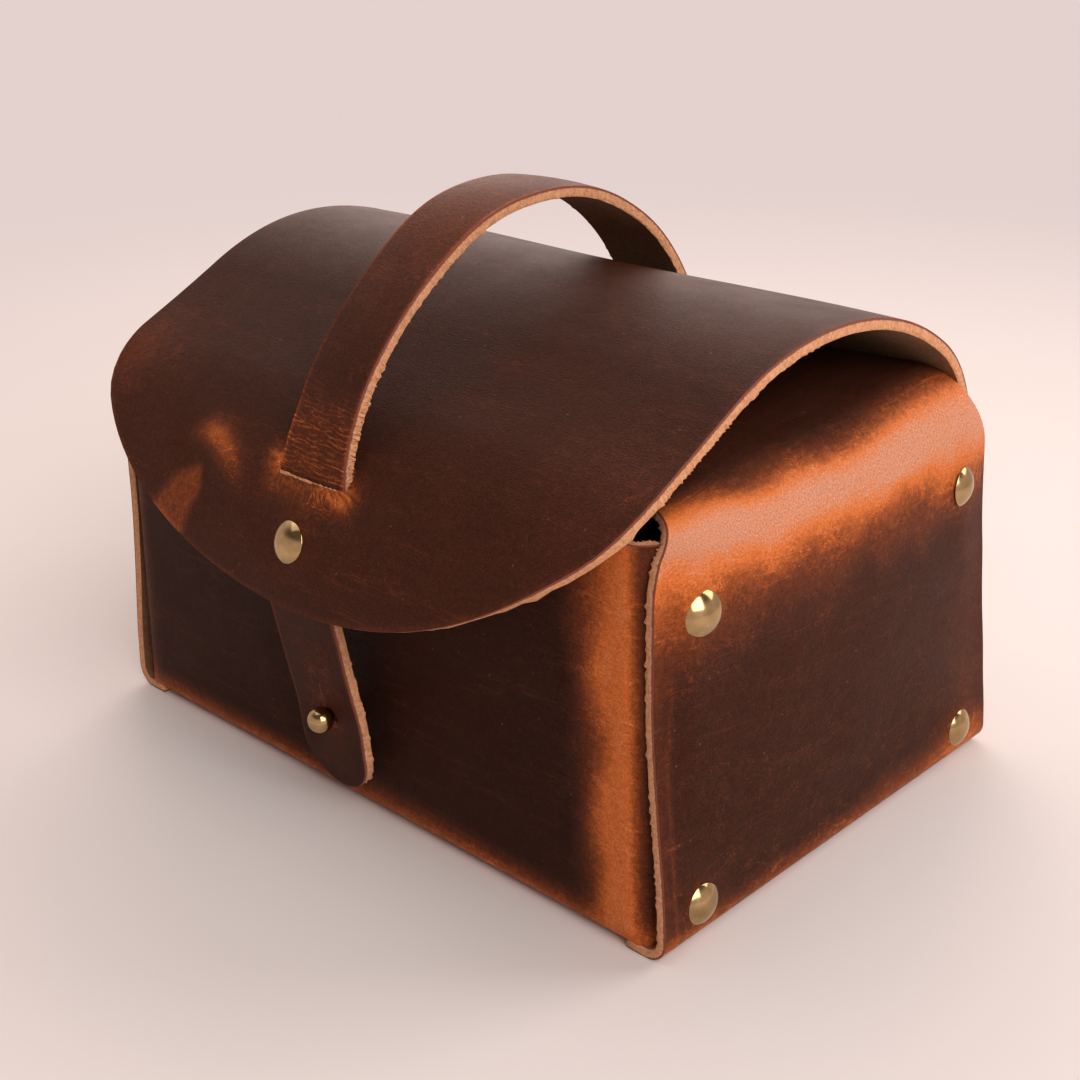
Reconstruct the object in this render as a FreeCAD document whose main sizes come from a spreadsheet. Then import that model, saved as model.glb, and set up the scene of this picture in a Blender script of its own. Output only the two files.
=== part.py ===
import FreeCAD, Part
import math
import os
import Sketcher
from FreeCAD import Placement, Rotation, Vector

# Leather case: one hide folded into a tub with an arched lid, one strap that is both handle and closure,
# and brass rivets. Millimetres, +Z up, front at -Y, origin at the middle of the base on the table.

doc = FreeCAD.newDocument("LeatherCase")
sheet = doc.addObject("Spreadsheet::Sheet", "Sizes")

sizes = {
    # hide and tub
    "leather": 2.6,               # thickness of the hide
    "case_length": 216,           # over the end panels, at the base
    "case_depth": 149,            # over the front and back walls, at the base
    "wall_height": 106,           # top edge of the front wall
    "end_lean": 2,                # degrees the end panels lean inward
    "back_lean": 4.6,             # degrees the back wall leans inward
    "base_bend": 6,               # outer radius of the bends along the base
    "corner_bend": 9,             # outer radius of the upright corner bends
    "wing_length": 36,            # how far a wall's wing reaches behind an end panel
    "layer_gap": 0.3,             # between a wing and the end panel over it
    "edge_inset": 1.2,            # end panel edges stand this far in from the wall faces
    "fold_gap": 0.3,              # slit left where a fold is cut into two pieces
    # tuck flaps at the tops of the end panels
    "flap_drop": 7,               # the end panels start to bend this far below the wall top
    "flap_bend": 15,              # outer radius of that bend
    "flap_turn": 88,              # degrees from end panel to flap
    "flap_reach": 46,             # flat length of a flap past its bend
    "flap_front_inset": 7,        # front edge of the flap's root, in from the front wall
    "flap_back_inset": 15,        # back edge of the flap's root, in from the foot of the back wall
    "flap_taper": 14,             # how much each side of a flap narrows towards its tip
    "flap_corner": 16,            # radius of the flap's tip corners
    # lid
    "lid_inset": 10.8,            # side edges of the lid, in from the ends of the base
    "fold_drop": 12,             # the lid folds this far below the wall top
    "lid_root": 2,                # straight stretch above the fold
    "lid_back_radius": 38.4,
    "lid_back_turn": 51.8,
    "lid_crown_radius": 89.5,
    "lid_crown_turn": 59.8,
    "lid_overhang": 22.5,         # lower edge of the lid, out from the front wall
    "lid_front_radius": 57.4,
    "lid_front_turn": 60,
    "lid_drop": 4,                # straight stretch at the lid's lower edge
    "nose_radius": 135.5,         # rounded front edge, seen from the front
    "shoulder_radius": 25,
    "nose_trim": 2,               # cut off the strip's end by the rounded edge
    "nose_lead": 0.3,             # the shoulder curve starts this far outside the lid's edge
    # strap: handle, and tab that buttons onto the stud
    "strap_width": 25,
    "strap_leather": 2.6,
    "seat_gap": 0.2,              # between the strap and the lid it lies against
    "slot_gap": 0.6,              # around the strap in its two slots
    "slot_angle": 33,             # degrees between strap and lid where it passes through
    "slot_bend_radius": 8,        # of the strap just inside a slot
    "front_slot": 36,             # along the lid from its lower edge
    "rear_slot": 37,              # along the lid from its fold
    "handle_front_radius": 46,
    "handle_front_turn": 36.7,
    "handle_top_radius": 105.8,
    "handle_top_turn": 18.8,
    "strap_rivet_front": 19,      # along the lid from its lower edge
    "strap_rivet_rear": 19,       # along the lid from its fold
    "strap_tail": 9,              # strap left beyond the rear rivet
    "strap_kink": 12,             # bend radius below the front rivet
    "kink_below_rivet": 7,
    "tab_fold": 4,                # the tab hinges this far below the lid's edge
    "tab_standoff": 12.1,         # face of the tab at the stud, out from the front wall
    "tab_tail": 22.4,             # tab left beyond the stud
    "slit_length": 11,
    "slit_width": 1.2,
    # brass
    "cap_diameter": 11,
    "cap_rim": 0.5,
    "cap_height": 2.3,
    "post_diameter": 3.2,
    "post_clearance": 0.1,
    "rivet_inset": 15,            # end rivets in from the front and back walls
    "rivet_low": 11,              # lower end rivets above the table
    "rivet_drop": 19.5,           # upper end rivets below the wall top
    "stud_height": 32.2,
    "stud_reach": 14.5,           # centre of the ball, out from the front wall
    "ball_diameter": 7,
    "ball_clearance": 0.4,
    "neck_diameter": 4,
    "flange_diameter": 6,
    "flange_thickness": 1.2,
    "screw_head_diameter": 8.5,
    "screw_head_thickness": 1.2,
}

for row, (alias, value) in enumerate(sizes.items(), start=1):
    sheet.set(f"A{row}", alias)
    sheet.set(f"B{row}", str(value))
    sheet.setAlias(f"B{row}", alias)
doc.recompute()


def size(alias):
    return float(getattr(sheet, alias))


def number(expression):
    result = sheet.evalExpression(expression)
    return float(getattr(result, "Value", result))


# Places that several pieces share, as expressions on the sheet
half_length = "Sizes.case_length / 2"
half_depth = "Sizes.case_depth / 2"
half_lid = f"({half_length} - Sizes.lid_inset)"
bend_height = "(Sizes.wall_height - Sizes.flap_drop)"
fold_height = "(Sizes.wall_height - Sizes.fold_drop)"
fold_back = f"({half_depth} - tan(Sizes.back_lean) * {fold_height})"
flap_axis_x = (f"({half_length} - tan(Sizes.end_lean) * {bend_height}"
               " - cos(Sizes.end_lean) * Sizes.flap_bend)")
flap_axis_z = f"({bend_height} - sin(Sizes.end_lean) * Sizes.flap_bend)"
split_angle = "(Sizes.end_lean + Sizes.flap_turn / 2)"
split_height = f"({flap_axis_z} + sin({split_angle}) * Sizes.flap_bend)"
root_front = f"({half_depth} - Sizes.flap_front_inset)"
root_back = f"({half_depth} - Sizes.flap_back_inset)"

# Headings along the lid line, in degrees, and the slope that brings its lower edge out to the overhang
at_fold = "(90 + Sizes.back_lean)"
at_crown = f"({at_fold} + Sizes.lid_back_turn)"
at_slope = f"({at_crown} + Sizes.lid_crown_turn)"
at_drop = f"({at_slope} + Sizes.lid_front_turn)"
lid_start_y = f"({fold_back} + cos({at_fold}) * Sizes.fold_gap)"
lid_start_z = f"({fold_height} + sin({at_fold}) * Sizes.fold_gap)"
lid_slope = (f"-({half_depth} + Sizes.lid_overhang + {lid_start_y} + cos({at_fold}) * Sizes.lid_root"
             f" + Sizes.lid_back_radius * (sin({at_crown}) - sin({at_fold}))"
             f" + Sizes.lid_crown_radius * (sin({at_slope}) - sin({at_crown}))"
             f" + Sizes.lid_front_radius * (sin({at_drop}) - sin({at_slope}))"
             f" + cos({at_drop}) * Sizes.lid_drop) / cos({at_slope})")
tip_height = (f"({lid_start_z} + sin({at_fold}) * Sizes.lid_root"
              f" + Sizes.lid_back_radius * (cos({at_fold}) - cos({at_crown}))"
              f" + Sizes.lid_crown_radius * (cos({at_crown}) - cos({at_slope}))"
              f" + sin({at_slope}) * {lid_slope}"
              f" + Sizes.lid_front_radius * (cos({at_slope}) - cos({at_drop}))"
              f" + sin({at_drop}) * Sizes.lid_drop + Sizes.nose_trim)")
lid_steps = [("run", "Sizes.lid_root"),
             ("bend", "Sizes.lid_back_radius", "Sizes.lid_back_turn"),
             ("bend", "Sizes.lid_crown_radius", "Sizes.lid_crown_turn"),
             ("run", lid_slope),
             ("bend", "Sizes.lid_front_radius", "Sizes.lid_front_turn"),
             ("run", "Sizes.lid_drop")]


def heading_vector(heading):
    return Vector(math.cos(math.radians(heading)), math.sin(math.radians(heading)), 0)


def left_of(heading):
    return heading_vector(heading + 90)


class FoldLine:
    """A plane line of straight runs and tangent bends, walked from its start.

    Steps are ("run", length) or ("bend", radius, degrees), and a bend to the right has negative degrees.
    """

    def __init__(self, start, heading, steps):
        self.legs = []
        self.length = 0
        point = Vector(start)
        for step in steps:
            if step[0] == "run":
                leg = {"kind": "run", "start": point, "heading": heading, "length": step[1]}
                point = point + heading_vector(heading) * step[1]
            else:
                radius, turn = step[1], step[2]
                side = math.copysign(1, turn)
                centre = point + left_of(heading) * radius * side
                leg = {"kind": "bend", "start": point, "heading": heading, "centre": centre, "side": side,
                       "radius": radius, "turn": turn, "length": radius * math.radians(abs(turn))}
                heading = heading + turn
                point = centre - left_of(heading) * radius * side
            leg["end"] = point
            self.legs.append(leg)
            self.length += leg["length"]
        self.end = point
        self.end_heading = heading

    def at(self, distance):
        """Point and heading at a distance along the line."""
        for leg in self.legs:
            if distance <= leg["length"] or leg is self.legs[-1]:
                break
            distance -= leg["length"]
        if leg["kind"] == "run":
            return leg["start"] + heading_vector(leg["heading"]) * distance, leg["heading"]
        heading = leg["heading"] + math.degrees(distance / leg["radius"]) * leg["side"]
        return leg["centre"] - left_of(heading) * leg["radius"] * leg["side"], heading

    def edges(self, offset):
        """The line's edges, moved to its left by offset."""
        result = []
        for leg in self.legs:
            first = leg["start"] + left_of(leg["heading"]) * offset
            if leg["kind"] == "run":
                last = leg["end"] + left_of(leg["heading"]) * offset
                result.append(Part.makeLine(first, last))
            else:
                radius = leg["radius"] - leg["side"] * offset
                middle_heading = leg["heading"] + leg["turn"] / 2
                middle = leg["centre"] - left_of(middle_heading) * radius * leg["side"]
                last_heading = leg["heading"] + leg["turn"]
                last = leg["centre"] - left_of(last_heading) * radius * leg["side"]
                result.append(Part.Arc(first, middle, last).toShape())
        return result

    def band(self, left, right):
        """Face between the line moved left and the line moved right, standing in the YZ plane."""
        one = self.edges(left)
        other = self.edges(-right)
        ends = [Part.makeLine(one[0].firstVertex().Point, other[0].firstVertex().Point),
                Part.makeLine(one[-1].lastVertex().Point, other[-1].lastVertex().Point)]
        face = Part.Face(Part.Wire(Part.__sortEdges__(one + other + ends)))
        face.transformShape(Rotation(Vector(1, 1, 1), 120).toMatrix())
        return face


def origin_plane(body, role):
    return next(item for item in body.Origin.OriginFeatures if item.Role == role)


def new_body(name):
    return doc.addObject("PartDesign::Body", name)


def new_sketch(body, role, name):
    sketch = body.newObject("Sketcher::SketchObject", name)
    sketch.AttachmentSupport = [(origin_plane(body, role), "")]
    sketch.MapMode = "FlatFace"
    return sketch


def drive(sketch, kind, arguments, expression):
    """Add a constraint whose value is an expression on the sheet, or a number worked out from it."""
    if isinstance(expression, float):
        sketch.addConstraint(Sketcher.Constraint(kind, *arguments, expression))
        return
    value = number(expression)
    if kind == "Angle":
        value = math.radians(value)
        expression = f"({expression}) * 1 deg"
    index = sketch.addConstraint(Sketcher.Constraint(kind, *arguments, value))
    sketch.setExpression(f"Constraints[{index}]", expression)


def pin(sketch, geometry, vertex, axis, expression):
    """Hold a vertex at a signed distance from the sketch's origin along axis X or Y."""
    if isinstance(expression, float) and expression < 0:
        drive(sketch, f"Distance{axis}", (geometry, vertex, -1, 1), -expression)
    elif number(str(expression)) < 0:
        drive(sketch, f"Distance{axis}", (geometry, vertex, -1, 1), f"-({expression})")
    else:
        drive(sketch, f"Distance{axis}", (-1, 1, geometry, vertex), expression)


def polygon(sketch, corners):
    """Closed outline of straight edges through corners given as pairs of expressions."""
    points = [Vector(number(str(x)), number(str(y)), 0) for x, y in corners]
    count = len(points)
    first = sketch.GeometryCount
    for index in range(count):
        sketch.addGeometry(Part.LineSegment(points[index], points[(index + 1) % count]))
    for index in range(count):
        following = (index + 1) % count
        sketch.addConstraint(Sketcher.Constraint("Coincident", first + index, 2, first + following, 1))
    for index, (x, y) in enumerate(corners):
        pin(sketch, first + index, 1, "X", x)
        pin(sketch, first + index, 1, "Y", y)


def worked_out(start, heading, steps):
    """Fold line from expressions."""
    numeric = [(step[0],) + tuple(number(item) for item in step[1:]) for step in steps]
    return FoldLine(Vector(number(start[0]), number(start[1]), 0), number(heading), numeric)


def fold_path(body, role, name, start, heading, steps):
    """Sketch of a fold line, which starts with a run: steps as in FoldLine, with expressions for sizes."""
    line = worked_out(start, heading, steps)
    sketch = new_sketch(body, role, name)
    previous = None
    for leg, step in zip(line.legs, steps):
        if leg["kind"] == "run":
            geometry = sketch.addGeometry(Part.LineSegment(leg["start"], leg["end"]))
            first, last = 1, 2
        else:
            entry = math.radians(leg["heading"] - 90 * leg["side"])
            leave = entry + math.radians(leg["turn"])
            first, last = (1, 2) if leg["side"] > 0 else (2, 1)
            circle = Part.Circle(leg["centre"], Vector(0, 0, 1), leg["radius"])
            geometry = sketch.addGeometry(Part.ArcOfCircle(circle, min(entry, leave), max(entry, leave)))
        if previous is None:
            if number(heading) % 180 == 0:
                sketch.addConstraint(Sketcher.Constraint("Horizontal", geometry))
            else:
                drive(sketch, "Angle", (geometry,), heading)
            if line.legs[0]["start"].Length == 0:
                sketch.addConstraint(Sketcher.Constraint("Coincident", geometry, first, -1, 1))
            else:
                pin(sketch, geometry, first, "X", start[0])
                pin(sketch, geometry, first, "Y", start[1])
        else:
            sketch.addConstraint(Sketcher.Constraint("Tangent", previous[0], previous[1], geometry, first))
        if leg["kind"] == "run":
            drive(sketch, "Distance", (geometry,), step[1])
        else:
            drive(sketch, "Radius", (geometry,), step[1])
            drive(sketch, "Angle", (geometry,), f"abs({step[2]})")
        previous = (geometry, last)
    return sketch


def strip(body, name, path, section):
    """Leather strip: a section carried along a fold line."""
    doc.recompute()
    feature = body.newObject("PartDesign::AdditivePipe", name)
    feature.Profile = section
    feature.Spine = (path, [f"Edge{index + 1}" for index in range(path.GeometryCount)])
    doc.recompute()
    return feature


def mirrored(body, name, originals, role):
    feature = body.newObject("PartDesign::Mirrored", name)
    feature.Originals = originals
    feature.MirrorPlane = (origin_plane(body, role), [""])
    body.Tip = feature
    doc.recompute()
    return feature


def wall_plan(body, name, side, height, face):
    """Right half of a wall's plan at a height, with its bend and wing. Side is -1 in front, 1 at the back."""
    sketch = new_sketch(body, "XY_Plane", name)
    sketch.setExpression("AttachmentOffset.Base.z", height)
    outer_x = (f"({half_length} - tan(Sizes.end_lean) * {height}"
               " - Sizes.leather / cos(Sizes.end_lean) - Sizes.layer_gap)")
    inner_x = f"({outer_x} - Sizes.leather)"
    outer_y = f"({side}) * {face}"
    inner_y = f"({side}) * ({face} - Sizes.leather)"
    wing_y = f"({side}) * ({face} - Sizes.wing_length)"
    wide, narrow = number(outer_x), number(inner_x)
    radius = size("corner_bend")
    far, near, end = number(outer_y), number(inner_y), number(wing_y)
    flat = wide - radius
    turn = far - side * radius

    def line(x1, y1, x2, y2):
        return sketch.addGeometry(Part.LineSegment(Vector(x1, y1, 0), Vector(x2, y2, 0)))

    def corner(bend):
        circle = Part.Circle(Vector(flat, turn, 0), Vector(0, 0, 1), bend)
        first = 0 if side > 0 else -math.pi / 2
        return sketch.addGeometry(Part.ArcOfCircle(circle, first, first + math.pi / 2))

    def joint(kind, first, second):
        """Join the two nearest ends of two edges."""
        options = [(sketch.getPoint(first, i).distanceToPoint(sketch.getPoint(second, j)), i, j)
                   for i in (1, 2) for j in (1, 2)]
        _, i, j = min(options)
        sketch.addConstraint(Sketcher.Constraint(kind, first, i, second, j))

    face_out = line(0, far, flat, far)
    bend_out = corner(radius)
    wing_out = line(wide, turn, wide, end)
    wing_cap = line(wide, end, narrow, end)
    wing_in = line(narrow, end, narrow, turn)
    bend_in = corner(radius - size("leather"))
    face_in = line(flat, near, 0, near)
    middle = line(0, near, 0, far)
    for first, second in ((face_out, bend_out), (bend_out, wing_out), (wing_in, bend_in), (bend_in, face_in)):
        joint("Tangent", first, second)
    for first, second in ((wing_out, wing_cap), (wing_cap, wing_in), (face_in, middle), (middle, face_out)):
        joint("Coincident", first, second)
    for upright in (wing_out, wing_in, middle):
        sketch.addConstraint(Sketcher.Constraint("Vertical", upright))
    for level in (face_out, face_in, wing_cap):
        sketch.addConstraint(Sketcher.Constraint("Horizontal", level))
    drive(sketch, "Radius", (bend_out,), "Sizes.corner_bend")
    drive(sketch, "Radius", (bend_in,), "Sizes.corner_bend - Sizes.leather")
    sketch.addConstraint(Sketcher.Constraint("PointOnObject", middle, 1, -2))
    pin(sketch, wing_out, 1, "X", outer_x)
    pin(sketch, wing_in, 1, "X", inner_x)
    pin(sketch, face_out, 1, "Y", outer_y)
    pin(sketch, face_in, 1, "Y", inner_y)
    pin(sketch, wing_cap, 1, "Y", wing_y)
    return sketch


def leaning_wall(body, name, plan, rise, lean):
    """Half a wall raised from its plan, leaning in with the end panel and by lean, and its mirror image."""
    doc.recompute()
    half = body.newObject("PartDesign::Pad", name + "_half")
    half.Profile = plan
    half.UseCustomVector = True
    half.AlongSketchNormal = True
    half.setExpression("Direction.x", "-tan(Sizes.end_lean)")
    half.setExpression("Direction.y", f"-tan({lean})")
    half.setExpression("Direction.z", "1")
    half.setExpression("Length", rise)
    doc.recompute()
    return mirrored(body, name, [half], "YZ_Plane")


def extruded(name, face, width):
    """A side profile given its width along X, half to each side."""
    profile = doc.addObject("Part::Feature", name + "_profile")
    profile.Shape = face
    solid = doc.addObject("Part::Extrusion", name)
    solid.Base = profile
    solid.DirMode = "Custom"
    solid.Dir = Vector(1, 0, 0)
    solid.Solid = True
    solid.Symmetric = True
    solid.setExpression("LengthFwd", width)
    return solid


def cut(name, base, tools):
    result = doc.addObject("Part::Cut", name)
    compound = doc.addObject("Part::Compound", name + "_cutters")
    compound.Links = tools
    result.Base = base
    result.Tool = compound
    doc.recompute()
    return result


def side_point(point, x=0):
    """A point of a side profile, set in space."""
    return Vector(x, point.x, point.y)


def along(direction):
    """Turn that takes +Z to a direction."""
    return Rotation(Vector(0, 0, 1), direction)


def rivet_hole(name, place):
    hole = doc.addObject("Part::Cylinder", name)
    hole.setExpression("Radius", "Sizes.post_diameter / 2 + Sizes.post_clearance")
    hole.setExpression("Height", "8 * Sizes.leather")
    middle = Placement(Vector(0, 0, -4 * size("leather")), Rotation())
    hole.Placement = place * middle
    return hole


def turned(name, corners):
    """Turned piece on the Z axis: corners (radius, height) from the axis outwards, with a dome on top."""
    body = new_body(name)
    sketch = new_sketch(body, "XZ_Plane", name + "_profile")
    points = [Vector(number(radius), number(height), 0) for radius, height in corners]
    for first, second in zip(points[:-1], points[1:-1]):
        sketch.addGeometry(Part.LineSegment(first, second))
    rim, top = points[-2], points[-1]
    centre = (top.y ** 2 - rim.x ** 2 - rim.y ** 2) / (2 * (top.y - rim.y))
    circle = Part.Circle(Vector(0, centre, 0), Vector(0, 0, 1), top.y - centre)
    dome = sketch.addGeometry(Part.ArcOfCircle(circle, math.atan2(rim.y - centre, rim.x), math.pi / 2))
    spine = sketch.addGeometry(Part.LineSegment(top, points[0]))
    for index in range(spine):
        sketch.addConstraint(Sketcher.Constraint("Coincident", index, 2, index + 1, 1))
    sketch.addConstraint(Sketcher.Constraint("Coincident", spine, 2, 0, 1))
    sketch.addConstraint(Sketcher.Constraint("PointOnObject", dome, 3, -2))
    for index, (radius, height) in enumerate(corners[:-1]):
        pin(sketch, index, 1, "X", radius)
        pin(sketch, index, 1, "Y", height)
    pin(sketch, spine, 1, "X", corners[-1][0])
    pin(sketch, spine, 1, "Y", corners[-1][1])
    revolution = body.newObject("PartDesign::Revolution", name + "_turning")
    revolution.Profile = sketch
    revolution.ReferenceAxis = (sketch, ["V_Axis"])
    revolution.Angle = 360
    doc.recompute()
    return body


def copies(name, originals, places):
    """One node of like pieces, each at its own place."""
    pieces = []
    for index, (original, place) in enumerate(zip(originals, places), start=1):
        piece = doc.addObject("Part::Feature", f"{name}_{index}")
        piece.Shape = original.Shape.copy()
        piece.Placement = place
        pieces.append(piece)
    group = doc.addObject("Part::Compound", name)
    group.Links = pieces
    return group


def behind(place, depth):
    """The place on the inner side of a stack of leather, facing inward."""
    return place * Placement(Vector(0, 0, -depth), Rotation(Vector(1, 0, 0), 180))


# Lid line, seen from the right with Y across and Z up: root, back bend, crown, slope, front bend, drop
lid_line = worked_out((lid_start_y, lid_start_z), at_fold, lid_steps)
back_bend = lid_line.legs[1]
front_bend = lid_line.legs[4]

# Strap line: its outer face, from the tab's hinge up behind the lid, over as the handle and in at the back
strap = size("strap_leather")
lid_skin = size("leather") + size("seat_gap")
front_run = front_bend["radius"] - lid_skin
rear_run = back_bend["radius"] - lid_skin


def lid_place(distance):
    """Point and heading on the lid's outer face, with the outward direction."""
    point, heading = lid_line.at(distance)
    return point, heading, left_of(heading) * -1


front_point, front_heading, front_out = lid_place(lid_line.length - size("front_slot"))
rear_point, rear_heading, rear_out = lid_place(size("rear_slot"))
rise = front_heading - 180 + size("slot_angle")
fall = rear_heading - 180 - size("slot_angle")
front_middle = front_point - front_out * (size("leather") / 2) + left_of(rise) * (strap / 2)
rear_middle = rear_point - rear_out * (size("leather") / 2) + left_of(fall) * (strap / 2)


def slot_bend(point, heading, centre, radius, sign):
    """Centre of the small bend that leads from a run along the lid's inside into the slot's straight pass.

    It lies left of the pass and touches the circle of the inside run, and sign picks the end of the pass.
    """
    turn = size("slot_bend_radius")
    base = point + left_of(heading) * turn - centre
    step = heading_vector(heading)
    reach = radius + turn
    half = base.dot(step)
    root = math.sqrt(half * half - base.dot(base) + reach * reach)
    return centre + base + step * (-half + sign * root)


def heading_between(first, second):
    return math.degrees(math.atan2(second.y - first.y, second.x - first.x))


front_small = slot_bend(front_middle, rise, front_bend["centre"], front_run, 1)
rear_small = slot_bend(rear_middle, fall, back_bend["centre"], rear_run, -1)
climb = heading_between(front_bend["centre"], front_small) - 90
tuck = heading_between(back_bend["centre"], rear_small) - 90

kink_distance = lid_line.length - size("strap_rivet_front") + size("kink_below_rivet")
_, kink_heading, kink_out = lid_place(kink_distance)
kink_centre = front_bend["centre"] + kink_out * (front_run - size("strap_kink"))
stud_point = Vector(-number(half_depth) - size("tab_standoff"), size("stud_height"), 0)
to_kink = kink_centre - stud_point
tab_heading = heading_between(stud_point, kink_centre) + math.degrees(
    math.asin(size("strap_kink") / to_kink.Length))
tab_run = math.sqrt(to_kink.Length ** 2 - size("strap_kink") ** 2)
hinge_run = (number(tip_height) - size("tab_fold") - stud_point.y) / math.sin(math.radians(tab_heading))
tab_hinge = stud_point + heading_vector(tab_heading) * hinge_run

pass_start = front_small - left_of(rise) * size("slot_bend_radius")
pass_end = rear_small - left_of(fall) * size("slot_bend_radius")
front_turn = size("handle_front_turn")
top_turn = size("handle_top_turn")
rear_turn = rise - fall - front_turn - top_turn


def arch(lead, rear_radius):
    return FoldLine(pass_start, rise, [("run", lead),
                                       ("bend", size("handle_front_radius"), -front_turn),
                                       ("bend", size("handle_top_radius"), -top_turn),
                                       ("bend", rear_radius, -rear_turn)])


# The lead and the rear radius that bring the arch's end onto the rear slot
bare = arch(0, 0).end
unit_rear = arch(0, 1).end - bare
unit_lead = heading_vector(rise)
gap = pass_end - bare
spread = unit_lead.x * unit_rear.y - unit_lead.y * unit_rear.x
lead = (gap.x * unit_rear.y - gap.y * unit_rear.x) / spread
rear_radius = (unit_lead.x * gap.y - unit_lead.y * gap.x) / spread
_, tail_heading, _ = lid_place(size("strap_rivet_rear") - size("strap_tail"))

strap_steps = [("run", tab_run - hinge_run),
               ("bend", size("strap_kink"), kink_heading - 180 - tab_heading),
               ("bend", front_run, climb - kink_heading + 180),
               ("bend", size("slot_bend_radius"), rise - climb),
               ("run", lead),
               ("bend", size("handle_front_radius"), -front_turn),
               ("bend", size("handle_top_radius"), -top_turn),
               ("bend", rear_radius, -rear_turn),
               ("bend", size("slot_bend_radius"), tuck - fall),
               ("bend", rear_run, tail_heading - 180 - tuck)]
strap_line = FoldLine(tab_hinge, tab_heading, strap_steps)


# End rivets: two rows on each end panel, square to its lean
def end_rivet_places(sign):
    lean = math.radians(size("end_lean"))
    outward = Vector(sign * math.cos(lean), 0, math.sin(lean))
    places = []
    for height in (size("rivet_low"), size("wall_height") - size("rivet_drop")):
        x = sign * (number(half_length) - math.tan(lean) * height)
        front = -number(half_depth) + size("rivet_inset")
        back = number(half_depth) - math.tan(math.radians(size("back_lean"))) * height - size("rivet_inset")
        for y in (front, back):
            places.append(Placement(Vector(x, y, height), along(outward)))
    return places


def strap_rivet_place(distance):
    point, _, outward = lid_place(distance)
    return Placement(side_point(point), along(side_point(outward)))


end_places = {"right": end_rivet_places(1), "left": end_rivet_places(-1)}
strap_places = [strap_rivet_place(lid_line.length - size("strap_rivet_front")),
                strap_rivet_place(size("strap_rivet_rear"))]
stud_place = Placement(Vector(0, -number(half_depth), size("stud_height")), along(Vector(0, -1, 0)))


# Tub: base with end panels, base with front and back bends, then the two walls with their wings
def make_tub():
    body = new_body("tub_hide")
    end_section = new_sketch(body, "YZ_Plane", "end_section")
    edge = f"({half_depth} - Sizes.edge_inset)"
    polygon(end_section, [(f"-{edge}", "0"), (edge, "0"),
                          (edge, "Sizes.leather"), (f"-{edge}", "Sizes.leather")])
    corner_run = "Sizes.base_bend * tan((90 + Sizes.end_lean) / 2)"
    end_path = fold_path(body, "XZ_Plane", "end_fold", ("0", "0"), "0", [
        ("run", f"{half_length} - {corner_run}"),
        ("bend", "Sizes.base_bend", "90 + Sizes.end_lean"),
        ("run", f"{bend_height} / cos(Sizes.end_lean) - {corner_run}"),
        ("bend", "Sizes.flap_bend", "Sizes.flap_turn / 2")])
    ends = strip(body, "end_panel", end_path, end_section)
    mirrored(body, "end_panels", [ends], "YZ_Plane")

    trim = new_sketch(body, "YZ_Plane", "end_outline")
    outside = f"({half_depth} + Sizes.corner_bend)"
    above = f"({split_height} + Sizes.corner_bend)"
    slope = "tan(Sizes.back_lean)"
    rising = f"({above} - {bend_height}) / ({split_height} - {bend_height})"
    back_at_bend = f"({edge} - {slope} * {bend_height})"
    polygon(trim, [(edge, "0"), (back_at_bend, bend_height),
                   (f"{back_at_bend} + ({root_back} - {back_at_bend}) * {rising}", above),
                   (outside, above), (outside, "0")])
    polygon(trim, [(f"-{edge}", bend_height), (f"-({edge} + ({root_front} - {edge}) * {rising})", above),
                   (f"-{outside}", above), (f"-{outside}", bend_height)])
    doc.recompute()
    trimmed = body.newObject("PartDesign::Pocket", "end_trim")
    trimmed.Profile = trim
    trimmed.Type = "ThroughAll"
    trimmed.Midplane = True
    doc.recompute()

    wall_start = "Sizes.base_bend"
    wall_section_x = (f"({half_length} - Sizes.leather / cos(Sizes.end_lean) - Sizes.layer_gap"
                      f" - tan(Sizes.end_lean) * {wall_start} - Sizes.corner_bend)")
    for side, name, lean in ((-1, "front", "0"), (1, "back", "Sizes.back_lean")):
        section = new_sketch(body, "XZ_Plane", name + "_section")
        polygon(section, [(f"-{wall_section_x}", "0"), (wall_section_x, "0"),
                          (wall_section_x, "Sizes.leather"), (f"-{wall_section_x}", "Sizes.leather")])
        run = f"Sizes.base_bend * tan((90 + {lean}) / 2)"
        path = fold_path(body, "YZ_Plane", name + "_fold", ("0", "0"), f"90 - 90 * ({side})", [
            ("run", f"{half_depth} - {run}"),
            ("bend", "Sizes.base_bend", f"({side}) * (90 + {lean})"),
            ("run", "Sizes.leather")])
        strip(body, name + "_bend", path, section)

    wall_face = {"front": (-1, "Sizes.wall_height", "0"), "back": (1, fold_height, "Sizes.back_lean")}
    for name, (side, top, lean) in wall_face.items():
        face = f"({half_depth} - tan({lean}) * {wall_start})"
        plan = wall_plan(body, name + "_plan", side, wall_start, face)
        leaning_wall(body, name + "_wall", plan, f"{top} - {wall_start}", lean)

    stud_seat = new_sketch(body, "XZ_Plane", "stud_seat")
    hole_radius = "Sizes.post_diameter / 2 + Sizes.post_clearance"
    stud_centre = Vector(0, size("stud_height"), 0)
    ring = stud_seat.addGeometry(Part.Circle(stud_centre, Vector(0, 0, 1), number(hole_radius)))
    stud_seat.addConstraint(Sketcher.Constraint("PointOnObject", ring, 3, -2))
    pin(stud_seat, ring, 3, "Y", "Sizes.stud_height")
    drive(stud_seat, "Radius", (ring,), hole_radius)
    doc.recompute()
    stud_hole = body.newObject("PartDesign::Pocket", "stud_hole")
    stud_hole.Profile = stud_seat
    stud_hole.Type = "ThroughAll"
    stud_hole.Reversed = True
    doc.recompute()

    holes = [rivet_hole(f"end_hole_{side}_{index}", place)
             for side, places in end_places.items() for index, place in enumerate(places)]
    return cut("tub", body, holes)


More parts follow.
